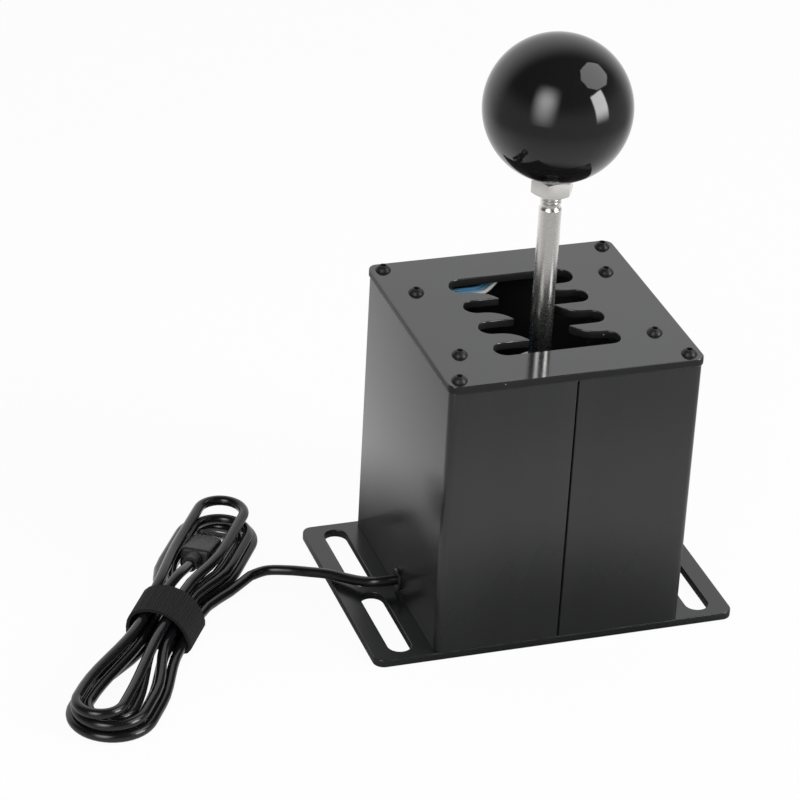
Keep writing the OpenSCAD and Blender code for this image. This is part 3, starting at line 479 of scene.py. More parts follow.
# The shell's holes are not cut: thin near-black patches stand in for them, painted shade where a hole would
# be dark
hole_shade_patches = []
for x in (-2.9, 2.9):
    for y in (-shell_h / 2, shell_h / 2):
        hole_shade_patches.append(block((x - 1, y - 0.06, plug_top + 5), (x + 1, y + 0.02, plug_top + 7), 0.02, 1))
plug_nose = joined(
    painted(shell_case, 0),
    painted(tongue, 1),
    *[painted(contact, 2) for contact in contacts],
    *[painted(hole_patch, 3) for hole_patch in hole_shade_patches],
)
bmesh.ops.transform(plug_nose, verts=plug_nose.verts, matrix=plug_frame)

# Brushed metal: long fine scratches along one direction
brushed, given, result = start_group(
    "brushed metal", {"Stretch": (1.0, 1.0, 0.05), "Scale": 1500.0}, ["Lines"]
)
where = add_node(brushed, "TexCoord").outputs["Object"]
drawn = add_node(brushed, "VectorMath", {0: where, 1: given["Stretch"]}, operation="MULTIPLY").outputs[0]
lines = add_node(brushed, "TexNoise", {"Vector": drawn, "Scale": given["Scale"], "Detail": 5.0})
brushed.links.new(lines.outputs[0], result["Lines"])


def bare_metal(name, dark, light, smoothest, roughest, scale, stretch=(1.0, 1.0, 1.0), depth=0.01):
    """A metal without a coat, with the lines that its tool left."""
    material, tree, shader = new_material(name)
    texture = add_node(tree, "Group", {"Stretch": stretch, "Scale": scale}, node_tree=brushed)
    tree.links.new(blended(tree, texture.outputs["Lines"], dark, light), shader.inputs["Base Color"])
    tree.links.new(ranged(tree, texture.outputs["Lines"], smoothest, roughest), shader.inputs["Roughness"])
    shader.inputs["Metallic"].default_value = 1
    roughened(tree, shader, texture.outputs["Lines"], depth)
    return material


def plain_plastic(name, dark, light, smoothest, roughest, scale=2000.0, depth=0.02):
    """A moulded plastic with a little unevenness in colour and gloss."""
    material, tree, shader = new_material(name)
    texture = add_node(tree, "Group", {"Scale": scale}, node_tree=grain)
    tree.links.new(blended(tree, texture.outputs["Patches"], dark, light), shader.inputs["Base Color"])
    tree.links.new(ranged(tree, texture.outputs["Height"], smoothest, roughest), shader.inputs["Roughness"])
    roughened(tree, shader, texture.outputs["Height"], depth)
    return material


nickel = bare_metal("nickel plate", (0.55, 0.55, 0.54), (0.75, 0.75, 0.73), 0.15, 0.3, 700.0)
white_plastic = plain_plastic("white plastic", (0.6, 0.59, 0.56), (0.72, 0.71, 0.68), 0.35, 0.55)
gold = bare_metal("gold contact", (0.75, 0.5, 0.18), (0.9, 0.65, 0.28), 0.18, 0.3, 900.0)
# Painted shade for the patches that stand in for the shell's holes
hole_shade_black = plain_plastic("painted hole shade", (0.004, 0.004, 0.004), (0.008, 0.008, 0.008), 0.6, 0.8)
plug_shell = add_piece(
    "plug_shell", plug_nose, [nickel, white_plastic, gold, hole_shade_black], "housing", "steel", "usb_plug_shell"
)

# The base plate. Laser-cut steel 3 mm thick, powder coated black, with a flange on each side and
# four long slots for bolting it to a rig. The gimbal, the controller and the shells stand on it.
base_w, base_d, base_t, base_r = 136.6, 93, 3, 4
slot_x, slot_y, slot_w, slot_len = 57, 22.2, 8.6, 40
lever_y = -8.4
corner = 42.25
spring_y = 14
sheet_edge = 0.3
wall_lean, face_lean = 0.05, 0.995
shell_hole_r, block_hole_r, spacer_hole_r, post_hole_r = 2.93, 3.83, 1.3, 1.55
base_holes = [(x, y, shell_hole_r) for x in (-corner, corner) for y in (-corner, corner)]
base_holes += [(x, lever_y + y, block_hole_r) for x in (-23.5, 23.5) for y in (-8, 8)]
base_holes += [(x, y, spacer_hole_r) for x in (-26.5, 6.5) for y in (25.5, 36.5)]
base_holes += [(0, lever_y + y, post_hole_r) for y in (-spring_y, spring_y)]
base_holes += [(-32.1, 14, post_hole_r)]


def arc(centre, radius, start, end, steps=8):
    angles = [math.radians(start + (end - start) * i / steps) for i in range(steps + 1)]
    return [(centre[0] + radius * math.cos(a), centre[1] + radius * math.sin(a)) for a in angles]


def rounded_outline(width, depth, radius, centre=(0, 0)):
    x, y = width / 2 - radius, depth / 2 - radius
    corners = [(x, y, 0), (-x, y, 90), (-x, -y, 180), (x, -y, 270)]
    outline = []
    for cx, cy, start in corners:
        outline += arc((centre[0] + cx, centre[1] + cy), radius, start, start + 90)
    return outline


def hole(x, y, radius):
    """A round hole, drawn the other way round than an outline."""
    return arc((x, y), radius, 360, 15, 23)


def cut_sheet(name, outline, holes, low, high, edge):
    """A sheet cut along an outline and round its holes, with every edge a little rounded."""
    curve = bpy.data.curves.new(name, "CURVE")
    curve.dimensions = "2D"
    curve.fill_mode = "BOTH"
    curve.extrude = ((high - low) / 2 - edge) * mm
    curve.bevel_depth = edge * mm
    curve.bevel_resolution = 1
    curve.offset = -edge * mm
    for line in [outline, *holes]:
        spline = curve.splines.new("POLY")
        spline.points.add(len(line) - 1)
        for point, (x, y) in zip(spline.points, line):
            point.co = (x * mm, y * mm, 0, 1)
        spline.use_cyclic_u = True
    flat = bpy.data.objects.new(name, curve)
    mesh = bpy.data.meshes.new_from_object(flat)
    bpy.data.objects.remove(flat)
    bm = bmesh.new()
    bm.from_mesh(mesh)
    bmesh.ops.remove_doubles(bm, verts=bm.verts, dist=0.001 * mm)
    bmesh.ops.recalc_face_normals(bm, faces=bm.faces)
    bmesh.ops.translate(bm, verts=bm.verts, vec=(0, 0, (low + high) / 2 * mm))
    return bm


def add_sheet(name, bm, materials, slot, node):
    """A cut sheet in the scene: its faces stay flat, and its rounded edges are marked as worn."""
    worn = bm.faces.layers.float.new("worn")
    for face in bm.faces:
        face[worn] = 1.0 if wall_lean < abs(face.normal.z) < face_lean else 0.0
    piece = add_piece(name, bm, materials, "housing", slot, node, sharp=50)
    level = [face for face in piece.data.polygons if abs(face.normal.z) > face_lean]
    rims = {key for face in level for key in face.edge_keys}
    for edge in piece.data.edges:
        edge.use_edge_sharp = edge.use_edge_sharp or edge.key in rims
    return piece


# Edge wear: where an edge is rounded, the coat is rubbed through in streaks and chips
edge_wear, given, result = start_group("edge wear", {"Scale": 220.0, "Amount": 0.5}, ["Mask"])
where = add_node(edge_wear, "TexCoord").outputs["Object"]
edges = add_node(edge_wear, "Attribute", attribute_name="worn").outputs["Fac"]
rubs = add_node(edge_wear, "TexNoise", {"Vector": where, "Scale": given["Scale"], "Detail": 5.0}).outputs[0]
rubbed = worked(edge_wear, "MULTIPLY", ranged(edge_wear, rubs, 0.0, 1.0, 0.42, 0.66), given["Amount"])
edge_wear.links.new(worked(edge_wear, "MULTIPLY", rubbed, edges), result["Mask"])


def black_coat(name, dark, light, smoothest, roughest, ior, wear, dust_share, stretch=(1.0, 1.0, 1.0)):
    """A black coat on sheet metal, rubbed at the edges and a little dusty."""
    material, tree, shader = new_material(name)
    texture = add_node(tree, "Group", {"Scale": 1400.0, "Stretch": stretch}, node_tree=grain)
    specks = add_node(tree, "Group", {"Scale": 170.0, "Share": dust_share, "Size": 0.035}, node_tree=dust)
    rubs = add_node(tree, "Group", {"Amount": wear}, node_tree=edge_wear)
    colour = blended(tree, texture.outputs["Patches"], dark, light)
    colour = blended(tree, rubs.outputs["Mask"], colour, (0.09, 0.09, 0.09))
    colour = blended(tree, specks.outputs["Mask"], colour, (0.5, 0.5, 0.48))
    tree.links.new(colour, shader.inputs["Base Color"])
    tree.links.new(ranged(tree, texture.outputs["Patches"], smoothest, roughest), shader.inputs["Roughness"])
    shader.inputs["IOR"].default_value = ior
    roughened(tree, shader, texture.outputs["Height"], 0.006)
    return material


base_outline = rounded_outline(base_w, base_d, base_r)
slots = [
    rounded_outline(slot_w, slot_len, slot_w / 2 - 0.01, (x, y))[::-1]
    for x in (-slot_x, slot_x) for y in (-slot_y, slot_y)
]
base_coat = black_coat(
    "base plate coat", (0.010, 0.011, 0.011), (0.015, 0.016, 0.016), 0.2, 0.28,
    ior=1.55, wear=0.2, dust_share=0.05,
)
round_holes = [hole(*spot) for spot in base_holes]
base_sheet = cut_sheet("base_plate", base_outline, slots + round_holes, 0, base_t, sheet_edge)
add_sheet("base_plate_sheet", base_sheet, [base_coat], "black_plate", "base_plate")

# The shells. Two black anodised aluminium halves that meet in an open seam at the front and the
# back, with a round channel in each corner for the screws and a lip behind the seam.
body_w, wall, shell_r = 93, 3, 3
shell_low, shell_high = 3, 107.7
seam_half, seam_r = 0.3, 0.5
channel_r, channel_bore = 3.4, 1.55
shell_edge = 0.25
lip_root, lip_reach, lip_low, lip_high = -6, 4, 42.15, 43.35


def shell_half(lipped):
    """The back half of the left shell, from the seam to the middle of the left wall."""
    outer, inner = body_w / 2, body_w / 2 - wall
    dip = math.degrees(math.asin((inner - corner) / channel_r))
    skin = arc((-seam_half - seam_r, outer - seam_r), seam_r, 0, 90, 4)
    skin += arc((shell_r - outer, outer - shell_r), shell_r, 90, 180)
    inside = arc((-corner, corner), channel_r, -90 - dip, dip, 16)
    if lipped:
        inside += [(lip_root, inner), (lip_root, lip_low), (lip_reach, lip_low), (lip_reach, lip_high),
                   (-seam_half, lip_high)]
    else:
        inside += [(-seam_half, inner)]
    return skin, inside


def shell_outline(lipped):
    skin, inside = shell_half(lipped)
    skin_front = [(x, -y) for x, y in reversed(skin)]
    inside_front = [(x, -y) for x, y in reversed(inside)]
    return skin + skin_front + inside_front + inside


shell_coat = black_coat(
    "shell coat", (0.0175, 0.018, 0.018), (0.0235, 0.024, 0.024), 0.2, 0.27,
    ior=1.57, wear=0.12, dust_share=0.03, stretch=(1.0, 1.0, 0.04),
)
left_bores = [hole(-corner, y, channel_bore) for y in (-corner, corner)]
left_half = cut_sheet("left_shell", shell_outline(True), left_bores, shell_low, shell_high, shell_edge)
right_outline = [(-x, y) for x, y in reversed(shell_outline(False))]
right_bores = [hole(corner, y, channel_bore) for y in (-corner, corner)]
right_half = cut_sheet("right_shell", right_outline, right_bores, shell_low, shell_high, shell_edge)
add_sheet("left_shell_half", left_half, [shell_coat], "black_coat", "left_shell")
add_sheet("right_shell_half", right_half, [shell_coat], "black_coat", "right_shell")

# The bush. A round bush of black rubber, where the lead comes out of the left shell. It is pressed
# through the wall and has a lip on both sides of it.
bush_bore, bush_neck, bush_lip = lead_r + 0.05, 3.1, 4.1
bush_profile = [
    (bush_bore, 0.3), (bush_bore + 0.3, 0), (bush_lip - 0.3, 0), (bush_lip, 0.3), (bush_lip, 0.8),
    (bush_lip - 0.2, 1), (bush_neck, 1), (bush_neck, 4), (bush_lip, 4), (bush_lip, 5), (bush_bore, 5),
    (bush_bore, 0.3),
]
bush = turned(bush_profile)
bush_place = Matrix.Translation(lead_exit * mm) @ Matrix.Rotation(math.pi / 2, 4, "Y")
bmesh.ops.transform(bush, verts=bush.verts, matrix=bush_place)
rubber = plain_plastic("bush rubber", (0.008, 0.008, 0.009), (0.014, 0.014, 0.014), 0.2, 0.35)
add_piece("lead_bush", bush, [rubber], "housing", "black_rubber", "cable_bush")

# The screws from below. Black oxide countersunk screws through the base plate into the shells
# and the bearing blocks, and grub screws in the foot of the lever.


def dress(material, *names):
    for name in names:
        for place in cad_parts[name].material_slots:
            place.material = material


def oxide_finish():
    material, tree, shader = new_material("black oxide")
    texture = add_node(tree, "Group", {"Scale": 2200.0}, node_tree=grain)
    colour = blended(tree, texture.outputs["Patches"], (0.010, 0.010, 0.011), (0.022, 0.022, 0.023))
    tree.links.new(colour, shader.inputs["Base Color"])
    tree.links.new(ranged(tree, texture.outputs["Height"], 0.32, 0.5), shader.inputs["Roughness"])
    shader.inputs["Metallic"].default_value = 0.3
    roughened(tree, shader, texture.outputs["Height"], 0.008)
    return material


oxide = oxide_finish()
dress(oxide, "base_screws", "block_screws", "hub_screws")

# The gimbal. Milled aluminium blocks with bronze bushes carry a milled yoke on steel pins, and a
# steel axle through the yoke carries the foot of the lever between two plastic washers.
milled = bare_metal(
    "milled aluminium", (0.42, 0.43, 0.44), (0.62, 0.63, 0.63), 0.28, 0.45, 900.0, stretch=(0.06, 1.0, 1.0)
)
bronze = bare_metal("bronze", (0.42, 0.24, 0.09), (0.58, 0.36, 0.15), 0.3, 0.48, 500.0)
zinc = bare_metal("zinc plate", (0.5, 0.51, 0.53), (0.68, 0.69, 0.7), 0.22, 0.38, 400.0)
dress(milled, "left_bearing_block", "right_bearing_block", "select_yoke", "lever_hub", "magnet_collar")
dress(bronze, "trunnion_bushes", "hub_bushes")
dress(zinc, "trunnion_pins", "shift_axle", "axle_nut", "spring_posts")
dress(white_plastic, "friction_washers")

# The centring springs. Two steel compression springs stand on posts under the yoke and press
# it level, so that the lever comes back to the third row.
spring_d, spring_wire, spring_turns = 7.6, 1, 6
spring_low, spring_rise = 3, 15.7
spring_marks = 32
spring_steel = bare_metal("spring steel", (0.4, 0.4, 0.41), (0.56, 0.56, 0.57), 0.22, 0.36, 900.0)
for name, y in (("front_spring", lever_y - spring_y), ("back_spring", lever_y + spring_y)):
    coil = []
    radius = (spring_d - spring_wire) / 2
    for k in range(spring_turns * spring_marks + 1):
        angle = math.tau * k / spring_marks
        height = spring_low + spring_wire / 2 + spring_rise * k / (spring_turns * spring_marks)
        coil.append(Vector((radius * math.cos(angle), y + radius * math.sin(angle), height)))
    wound = bpy.data.objects.new(name, tube_curve(name, [coil], spring_wire / 2))
    bm = bmesh.new()
    bm.from_mesh(bpy.data.meshes.new_from_object(wound))
    bpy.data.objects.remove(wound)
    spring = add_piece(name, bm, [spring_steel], "housing", "steel", "centring_springs", sharp=60)
    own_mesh(spring)

# The controller. A small blue circuit board on plastic spacers with a processor, a crystal and a
# header; the lead is clamped by a plastic saddle and soldered to it.
track_scale, track_edge = 70.0, 0.86
region_scale, region_share = 120.0, 0.5


def circuit_board(name, mask_dark, mask_light, trace):
    """A lacquered circuit board with straight copper tracks showing through the lacquer."""
    material, tree, shader = new_material(name)
    where = add_node(tree, "TexCoord").outputs["Object"]
    texture = add_node(tree, "Group", {"Scale": 1200.0}, node_tree=grain)
    lacquer = blended(tree, texture.outputs["Patches"], mask_dark, mask_light)
    tracks = 0.0
    for direction in ("X", "Y"):
        wave = add_node(tree, "TexWave", {"Vector": where, "Scale": track_scale}, bands_direction=direction)
        line = worked(tree, "GREATER_THAN", wave.outputs["Fac"], track_edge)
        cells = add_node(tree, "TexVoronoi", {"Vector": where, "Scale": region_scale}, distance="CHEBYCHEV")
        part = add_node(tree, "SeparateColor", {"Color": cells.outputs["Color"]}).outputs[direction == "Y"]
        line = worked(tree, "MULTIPLY", line, worked(tree, "GREATER_THAN", part, region_share))
        tracks = worked(tree, "MAXIMUM", line, tracks)
    tree.links.new(blended(tree, tracks, lacquer, trace), shader.inputs["Base Color"])
    tree.links.new(ranged(tree, texture.outputs["Height"], 0.2, 0.34), shader.inputs["Roughness"])
    roughened(tree, shader, tracks, 0.03)
    return material


blue_board = circuit_board("blue board", (0.006, 0.02, 0.09), (0.01, 0.03, 0.12), (0.03, 0.08, 0.24))
chip_black = plain_plastic("chip epoxy", (0.012, 0.012, 0.012), (0.022, 0.022, 0.022), 0.45, 0.65)
dress(blue_board, "controller_board")
dress(chip_black, "controller_chips", "hall_sensors")
dress(white_plastic, "board_spacers", "cable_saddle")
dress(zinc, "controller_screws", "saddle_screw", "standoff_screws")
inner_route = [
    (-41.55, -4, 8), (-40.5, -2.6, 7.4), (-38.7, 1.4, 6.4), (-38.1, 6, 5.2), (-38.1, 14, 5.2),
    (-38.1, 22, 5.2), (-35.9, 27.4, 8.2), (-34.2, 30.4, 10.95), (-30, 31, 11.55), (-26.2, 31, 11.55),
]
inner_path = [lead_exit] + smooth_path(inner_route)
add_tube("inner_lead", [inner_path], lead_r, jacket, "lead_jacket", "inner_cable", sides=5)

# The wires. Thin insulated wires, two blue and one white, run side by side from one sensor board
# behind the gate and down to the other. Three blue ones come up the left wall from the controller.
wire_r, wire_step = 0.75, 2.2
board_x, board_top = 36.2, 97.7
wire_y, wire_z, pad_y = 32.95, 102.7, 27.05
link_line = [
    (-26.2, -0.8, -0.8, wire_step), (-17, 0, 0, wire_step), (-7, 0.8, 0.2, 2), (0, 4.5, 2.6, 1.7),
    (6, 6.5, 3.8, 1.6), (14, 6.6, 3.9, 1.6), (22, 6.3, 3.7, 1.6), (29, 3, 1.6, 1.8),
]


def link_end(k, side):
    across = k * wire_step
    return [
        (side * (board_x + across), pad_y, board_top + 0.8),
        (side * (board_x - 3 + across), pad_y + 3 + k * wire_r, board_top + 3),
    ]


def link_route(k):
    line = [(x, wire_y + y + k * step, wire_z + z) for x, y, z, step in link_line]
    return link_end(k, -1) + line + link_end(k, 1)[::-1]


def riser_route(k):
    start_y = 23.6 + k * wire_step
    y = 12 + k * wire_step
    return [
        (-21.1, start_y, 11.6), (-24, start_y, 11.6), (-33, start_y, 14.6), (-39, y + 6, 31.6),
        (-42, y, 51.6), (-42, y, 67.7), (-41.25, y, 87.7), (-36.2, y, 95.3),
    ]


blue_sleeve = plain_plastic("blue wire sleeve", (0.10, 0.34, 0.60), (0.16, 0.42, 0.68), 0.3, 0.45)
white_sleeve = plain_plastic("white wire sleeve", (0.62, 0.62, 0.6), (0.74, 0.74, 0.72), 0.3, 0.45)
for name, routes, sleeve, slot, node in (
    ("blue_link_wires", [link_route(0), link_route(1)], blue_sleeve, "blue_wire", "link_wires_blue"),
    ("white_link_wire", [link_route(-1)], white_sleeve, "white_plastic", "link_wires_white"),
    ("riser_wires", [riser_route(k) for k in range(3)], blue_sleeve, "blue_wire", "controller_wires"),
):
    add_tube(name, [smooth_path(route) for route in routes], wire_r, sleeve, slot, node)

# The sensor boards. Two dark green circuit boards hang from the gate plate on hexagonal brass
# standoffs, with a row of sensors along the inner edge that read the magnets on the lever.
green_board = circuit_board(
    "green board", (0.003, 0.014, 0.007), (0.005, 0.020, 0.010), (0.010, 0.045, 0.022)
)
brass = bare_metal("brass", (0.5, 0.34, 0.12), (0.7, 0.5, 0.2), 0.2, 0.36, 900.0, stretch=(1.0, 1.0, 0.1))
dress(green_board, "left_sensor_board", "right_sensor_board")
dress(brass, "board_standoffs")

# The gate plate. Laser-cut steel 3 mm thick, coated black, with the four rows of the gate cut out
# of it. Curved fingers between the rows lead the lever from one to the next.
plate_w, plate_r = 94, 3.5
plate_low, plate_high = 107.7, 110.7
row_y = [23.6, 7.6, -8.4, -24.4]
row_w = [10.7, 9.1, 9.1, 9.1]
row_end = [18.05, 18.85, 18.85, 18.85]
tip_x = 8.7
screw_hole_r = 1.6


def finger(width, height):
    """The curve of a finger, flat at its root and steep at its tip."""
    radius = (width * width + height * height) / (2 * height)
    end = math.degrees(math.atan2(width, radius - height))
    return [(x, y + radius) for x, y in arc((0, 0), radius, -90, end - 90, 12)]


def gate_outline():
    right, left = [], []
    for i in (3, 2, 1, 0):
        right += arc((row_end[i], row_y[i]), row_w[i] / 2, -90, 90, 14)
        if i > 0:
            low = row_y[i] + row_w[i] / 2
            high = row_y[i - 1] - row_w[i - 1] / 2
            curve = finger(row_end[i] - tip_x, high - low)
            right += [(row_end[i] - x, low + y) for x, y in curve[1:]]
    for i in range(4):
        left += arc((-row_end[i], row_y[i]), row_w[i] / 2, 90, 270, 14)
        if i < 3:
            high = row_y[i] - row_w[i] / 2
            low = row_y[i + 1] + row_w[i + 1] / 2
            curve = finger(row_end[i] - tip_x, high - low)
            left += [(x - row_end[i], high - y) for x, y in curve[1:]]
    return right + left


plate_coat = black_coat(
    "gate plate coat", (0.014, 0.015, 0.017), (0.020, 0.021, 0.024), 0.07, 0.11,
    ior=1.66, wear=0.15, dust_share=0.09,
)
cut_coat = black_coat(
    "gate cut coat", (0.010, 0.010, 0.010), (0.017, 0.017, 0.017), 0.4, 0.55,
    ior=1.3, wear=0.1, dust_share=0.5,
)
screw_spots = [(x, y) for x in (-corner, corner) for y in (-corner, corner)]
board_spots = [(x, -1.2 + y) for x in (-board_x, board_x) for y in (-23.75, 23.75)]
plate_outline = rounded_outline(plate_w, plate_w, plate_r)
plate_holes = [gate_outline()[::-1]] + [hole(x, y, screw_hole_r) for x, y in screw_spots + board_spots]
plate_sheet = cut_sheet("gate_plate", plate_outline, plate_holes, plate_low, plate_high, sheet_edge)
for face in plate_sheet.faces:
    face.material_index = 1 if abs(face.normal.z) < wall_lean else 0
add_sheet("gate_plate_sheet", plate_sheet, [plate_coat, cut_coat], "black_plate", "gate_plate")

# The plate's screws. Black oxide M3 button heads with a hexagonal socket: four in the corners
# into the shells, and four beside the gate into the standoffs.
head_r, head_h = 2.85, 1.86
shank_r, shank_len = 1.5, 8.5
socket_r, socket_low = 1.125, 0.75
head_profile = [
    (shank_r, 0), (head_r, 0), (head_r, 0.12), (2.72, 0.5), (2.45, 0.95), (2.05, 1.38), (1.6, 1.68),
    (1.36, 1.8), (1.3, head_h - 0.04),
]
socket_profile = [(None, head_h - 0.1), (None, socket_low)]


def button_screws(spots, seat):
    """Screws drawn up from the end of the shank; a ring without a radius belongs to the socket."""
    bm = bmesh.new()
    for x, y in spots:
        place = Matrix.Translation(Vector((x, y, seat - shank_len)) * mm)
        ring = bmesh.ops.create_circle(
            bm, cap_ends=True, segments=24, radius=shank_r * mm, matrix=place
        )["verts"]
        rims = list(dict.fromkeys(edge for vert in ring for edge in vert.link_edges))
        middle = Vector((x, y, 0)) * mm
        for radius, height in head_profile + socket_profile:
            made = bmesh.ops.extrude_edge_only(bm, edges=rims)["geom"]
            ring = [item for item in made if isinstance(item, bmesh.types.BMVert)]
            rims = [e for e in made if isinstance(e, bmesh.types.BMEdge) and all(v in ring for v in e.verts)]
            for vert in ring:
                angle = math.atan2(vert.co.y - middle.y, vert.co.x - middle.x)
                swing = (angle + math.pi / 6) % (math.pi / 3) - math.pi / 6
                flat = socket_r * math.cos(math.pi / 6) / math.cos(swing)
                reach = (flat if radius is None else radius) * mm
                vert.co = (middle.x + reach * math.cos(angle), middle.y + reach * math.sin(angle),
                           (seat + height) * mm)
        bmesh.ops.edgeloop_fill(bm, edges=rims)
    bmesh.ops.recalc_face_normals(bm, faces=bm.faces)
    return bm


add_piece("plate_corner_screws", button_screws(screw_spots, plate_high), [oxide], "housing", "black_steel",
          "corner_screws")
add_piece("plate_board_screws", button_screws(board_spots, plate_high), [oxide], "housing", "black_steel",
          "board_screws")

# The lever. A brushed stainless rod 8 mm thick with a rolled thread at the top, clamped in the
# lever foot. Two magnets sit in an aluminium collar under the gate plate.
rod_r, rod_low, shoulder_z, rod_high = 4, 33.05, 156.2, 183.2
thread_root, thread_crest, thread_pitch, thread_steps = 3.1, 3.7, 1.25, 32
lever_place = Matrix.Translation((0, lever_y * mm, 0))
rod_profile = [
    (0, rod_low), (rod_r - 0.3, rod_low), (rod_r, rod_low + 0.3), (rod_r, shoulder_z - 0.8),
    (3.5, shoulder_z), (thread_root, shoulder_z + 0.1), (thread_root, rod_high), (0, rod_high),
]
thread_turns = int((rod_high - 2 - shoulder_z) / thread_pitch)
thread = bmesh.new()
ridge = [(thread_root - 0.05, 0), (thread_crest, 0.5), (thread_crest, 0.68), (thread_root - 0.05, 1.18)]
verts = [thread.verts.new((r * mm, 0, (shoulder_z + z) * mm)) for r, z in ridge]
lines = [thread.edges.new(pair) for pair in zip(verts, verts[1:])]
bmesh.ops.spin(
    thread, geom=verts + lines, cent=(0, 0, 0), axis=(0, 0, 1), angle=math.tau * thread_turns,
    dvec=(0, 0, thread_pitch * mm / thread_steps), steps=thread_steps * thread_turns,
)
bmesh.ops.recalc_face_normals(thread, faces=thread.faces)
rod = joined(turned(rod_profile, 64), thread)
bmesh.ops.transform(rod, verts=rod.verts, matrix=lever_place)
stainless = bare_metal(
    "stainless rod", (0.55, 0.54, 0.52), (1.0, 0.98, 0.95), 0.2, 0.32, 2000.0,
    stretch=(1.0, 1.0, 0.7), depth=0.016,
)
add_piece("lever_rod_turned", rod, [stainless], "lever", "stainless", "lever_rod", sharp=28)
dress(nickel, "magnets")

# The jam nut. A thin plated steel nut with its corners turned off. It runs on the rod's thread and
# is locked up against the knob.
nut_edge = 0.12
nut = bmesh.new()
nut.from_mesh(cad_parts["jam_nut"].data)
bmesh.ops.remove_doubles(nut, verts=nut.verts, dist=0.005 * mm)
bmesh.ops.dissolve_limit(nut, angle_limit=math.radians(1), verts=nut.verts, edges=nut.edges)
corners = [edge for edge in nut.edges if edge.is_manifold and edge.calc_face_angle() > math.radians(25)]
bmesh.ops.bevel(
    nut, geom=corners, offset=nut_edge * mm, segments=2, profile=0.5, affect="EDGES", material=-1,
    clamp_overlap=True,
)
plated = bare_metal("plated nut", (0.86, 0.85, 0.82), (0.95, 0.94, 0.91), 0.4, 0.55, 350.0)
add_piece("jam_nut_plated", nut, [plated], "lever", "stainless", "jam_nut", sharp=20)

# The knob. A ball 52 mm across, moulded in black phenolic and polished, with a small flat
# underneath and a plated insert that screws on the rod.
knob_r, knob_z, knob_flat_z = 26, 193.1, 167.8
ball = bmesh.new()
bmesh.ops.create_uvsphere(ball, u_segments=128, v_segments=64, radius=knob_r * mm)
bmesh.ops.translate(ball, verts=ball.verts, vec=(0, lever_y * mm, knob_z * mm))
flat = (0, lever_y * mm, knob_flat_z * mm)
whole_ball = ball.verts[:] + ball.edges[:] + ball.faces[:]
cut = bmesh.ops.bisect_plane(
    ball, geom=whole_ball, plane_co=flat, plane_no=(0, 0, -1), clear_outer=True
)
rim = [item for item in cut["geom_cut"] if isinstance(item, bmesh.types.BMEdge)]
bmesh.ops.edgeloop_fill(ball, edges=rim)
bmesh.ops.recalc_face_normals(ball, faces=ball.faces)

gloss, tree, shader = new_material("polished black")
texture = add_node(tree, "Group", {"Scale": 260.0}, node_tree=grain)
specks = add_node(tree, "Group", {"Scale": 330.0, "Share": 0.12, "Size": 0.045}, node_tree=dust)
knob_black = blended(tree, texture.outputs["Patches"], (0.006, 0.006, 0.006), (0.009, 0.009, 0.009))
knob_dusty = blended(tree, specks.outputs["Mask"], knob_black, (0.12, 0.12, 0.115))
tree.links.new(knob_dusty, shader.inputs["Base Color"])
tree.links.new(ranged(tree, texture.outputs["Height"], 0.03, 0.08), shader.inputs["Roughness"])
shader.inputs["IOR"].default_value = 1.55
roughened(tree, shader, texture.outputs["Height"], 0.012)
add_piece("knob_ball", ball, [gloss], "lever", "black_gloss", "knob")
dress(plated, "knob_insert")

# The table and the lamps. A white table in a room that is bright behind the object and dim in
# front of it. Three soft boxes light it: an eight-sided one high on the right, a tall one low on
# the right and a soft one on the left.
table_half, table_drop = 4, 0.3
camera_share = 0.95
room_high, room_low, room_back = 0.06, 0.34, 1.0
room_way = Vector((0.15, 0.989, 0))


def eased(tree, value, low, high, start, end):
    return ranged(tree, value, low, high, start, end, "SMOOTHSTEP")


def room_tone(tree, way):
    """How bright the room is in a direction: dim in front, dark above and white behind."""
    depth = add_node(tree, "VectorMath", {0: way, 1: room_way}, operation="DOT_PRODUCT").outputs["Value"]
    rise = add_node(tree, "SeparateXYZ", {0: way}).outputs["Z"]
    front = eased(tree, rise, room_low, room_high, 0.0, 0.5)
    behind = eased(tree, depth, 0.0, 1.0, 0.2, 0.85)
    return add_node(tree, "Mix", {0: behind, 2: front, 3: room_back}).outputs[0], depth


sheet = bmesh.new()
bmesh.ops.create_grid(sheet, x_segments=1, y_segments=1, size=table_half)
bmesh.ops.translate(sheet, verts=sheet.verts, vec=(0, 0, -table_drop * mm))
table_mesh = bpy.data.meshes.new("table")
sheet.to_mesh(table_mesh)
sheet.free()
table = bpy.data.objects.new("table", table_mesh)
scene.collection.objects.link(table)

paper, tree, shader = new_material("white paper")
shader.inputs["Base Color"].default_value = (0.93, 0.93, 0.93, 1)
shader.inputs["Roughness"].default_value = 0.9
shader.inputs["Specular IOR Level"].default_value = 0
rays = add_node(tree, "LightPath")
spot = add_node(tree, "TexCoord").outputs["Object"]
reach = add_node(tree, "VectorMath", {0: spot}, operation="LENGTH").outputs["Value"]
outward = add_node(tree, "VectorMath", {0: spot}, operation="NORMALIZE").outputs[0]
far_tone, depth = room_tone(tree, outward)
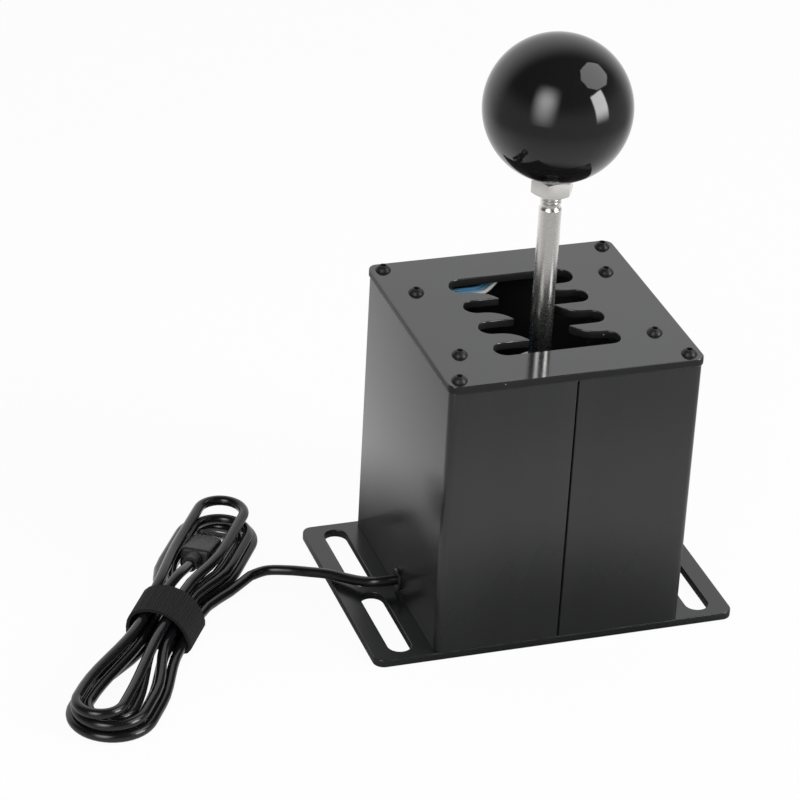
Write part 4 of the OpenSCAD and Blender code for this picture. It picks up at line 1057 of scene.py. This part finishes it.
# Seen in a gloss, the table shows a painted tone, not its lit shading: painted shade close under the object,
# white further out, most of all behind, and the room's tone far off
painted_contact_shade = eased(tree, reach, 0.06, 1.0, 0.055, 0.13)
painted_near_tone = worked(tree, "MULTIPLY", painted_contact_shade, eased(tree, depth, 0.6, 1.0, -0.7, 0.5))
distant = eased(tree, reach, 0.0, 1.0, 0.15, 0.55)
tone = add_node(tree, "Mix", {0: distant, 2: painted_near_tone, 3: far_tone}).outputs[0]
painted_gloss_tone = add_node(tree, "Emission", {"Strength": tone}).outputs[0]
seen = add_node(tree, "Emission", {"Strength": 1.0}).outputs[0]
straight = worked(tree, "MAXIMUM", rays.outputs["Is Camera Ray"], rays.outputs["Is Transmission Ray"])
shown = worked(tree, "MULTIPLY", straight, camera_share)
lit = add_node(tree, "MixShader", {0: shown, 1: shader.outputs[0], 2: seen})
mixed = add_node(tree, "MixShader", {0: rays.outputs["Is Glossy Ray"], 1: lit.outputs[0], 2: painted_gloss_tone})
tree.links.new(mixed.outputs[0], tree.nodes["Material Output"].inputs["Surface"])
table_mesh.materials.append(paper)

room = bpy.data.worlds.new("room")
room.use_nodes = True
tree = room.node_tree
way = add_node(tree, "TexCoord").outputs["Generated"]
rays = add_node(tree, "LightPath")
tone = worked(tree, "MAXIMUM", room_tone(tree, way)[0], rays.outputs["Is Camera Ray"])
tree.links.new(tone, tree.nodes["Background"].inputs["Strength"])
tree.nodes["Background"].inputs["Color"].default_value = (1, 1, 1, 1)
scene.world = room

lamp_aim = Vector((0, 0, 120)) * mm
upright = Vector((0, 0, 1))
# Name, sides, direction, upward line, distance, width, height, strength, fading at sides, top and bottom
soft_boxes = [
    ("octagon", 8, (0.630, -0.187, 0.754), -toward_camera, 1.3, 0.75, 1.04, 2.6, (0.03, 0.03, 0.03)),
    ("right_box", 4, (0.725, -0.64, 0.256), upright, 1.4, 0.62, 1.05, 9.5, (0.12, 0.05, 0.5)),
    ("left_box", 4, (-0.605, -0.646, 0.38), upright, 1.4, 1.2, 2.0, 6.3, (0.48, 0.42, 0.72)),
]
for name, sides, way, up, distance, width, height, brightness, fades in soft_boxes:
    bm = bmesh.new()
    across = 0.5 / math.cos(math.pi / sides)
    flat_down = Matrix.Rotation(math.pi / sides, 4, "Z")
    bmesh.ops.create_circle(bm, cap_ends=True, segments=sides, radius=across, matrix=flat_down)
    bmesh.ops.scale(bm, verts=bm.verts, vec=(width, height, 1))
    cloth_mesh = bpy.data.meshes.new(name)
    bm.to_mesh(cloth_mesh)
    bm.free()
    cloth, tree, shader = new_material(name)
    spot = add_node(tree, "SeparateXYZ", {0: add_node(tree, "TexCoord").outputs["Object"]})
    share = add_node(tree, "NewGeometry").outputs["Backfacing"]
    borders = [
        ("X", 1, width, fades[0]), ("X", -1, width, fades[0]),
        ("Y", 1, height, fades[1]), ("Y", -1, height, fades[2]),
    ]
    for axis, side, size, fade in borders:
        reach = worked(tree, "MULTIPLY", spot.outputs[axis], side)
        share = worked(tree, "MULTIPLY", share, eased(tree, reach, 1.0, 0.0, size * (0.5 - fade), size / 2))
    glow = add_node(tree, "Emission", {"Strength": brightness}).outputs[0]
    clear = add_node(tree, "BsdfTransparent").outputs[0]
    mixed = add_node(tree, "MixShader", {0: share, 1: clear, 2: glow}).outputs[0]
    tree.links.new(mixed, tree.nodes["Material Output"].inputs["Surface"])
    cloth_mesh.materials.append(cloth)
    way = Vector(way).normalized()
    level = up.cross(way).normalized()
    lamp = bpy.data.objects.new(name, cloth_mesh)
    lamp.rotation_mode = "QUATERNION"
    lamp.rotation_quaternion = Matrix((level, way.cross(level), way)).transposed().to_quaternion()
    lamp.location = lamp_aim + way * distance
    scene.collection.objects.link(lamp)

scene.view_settings.view_transform = "Standard"

bpy.context.view_layer.update()
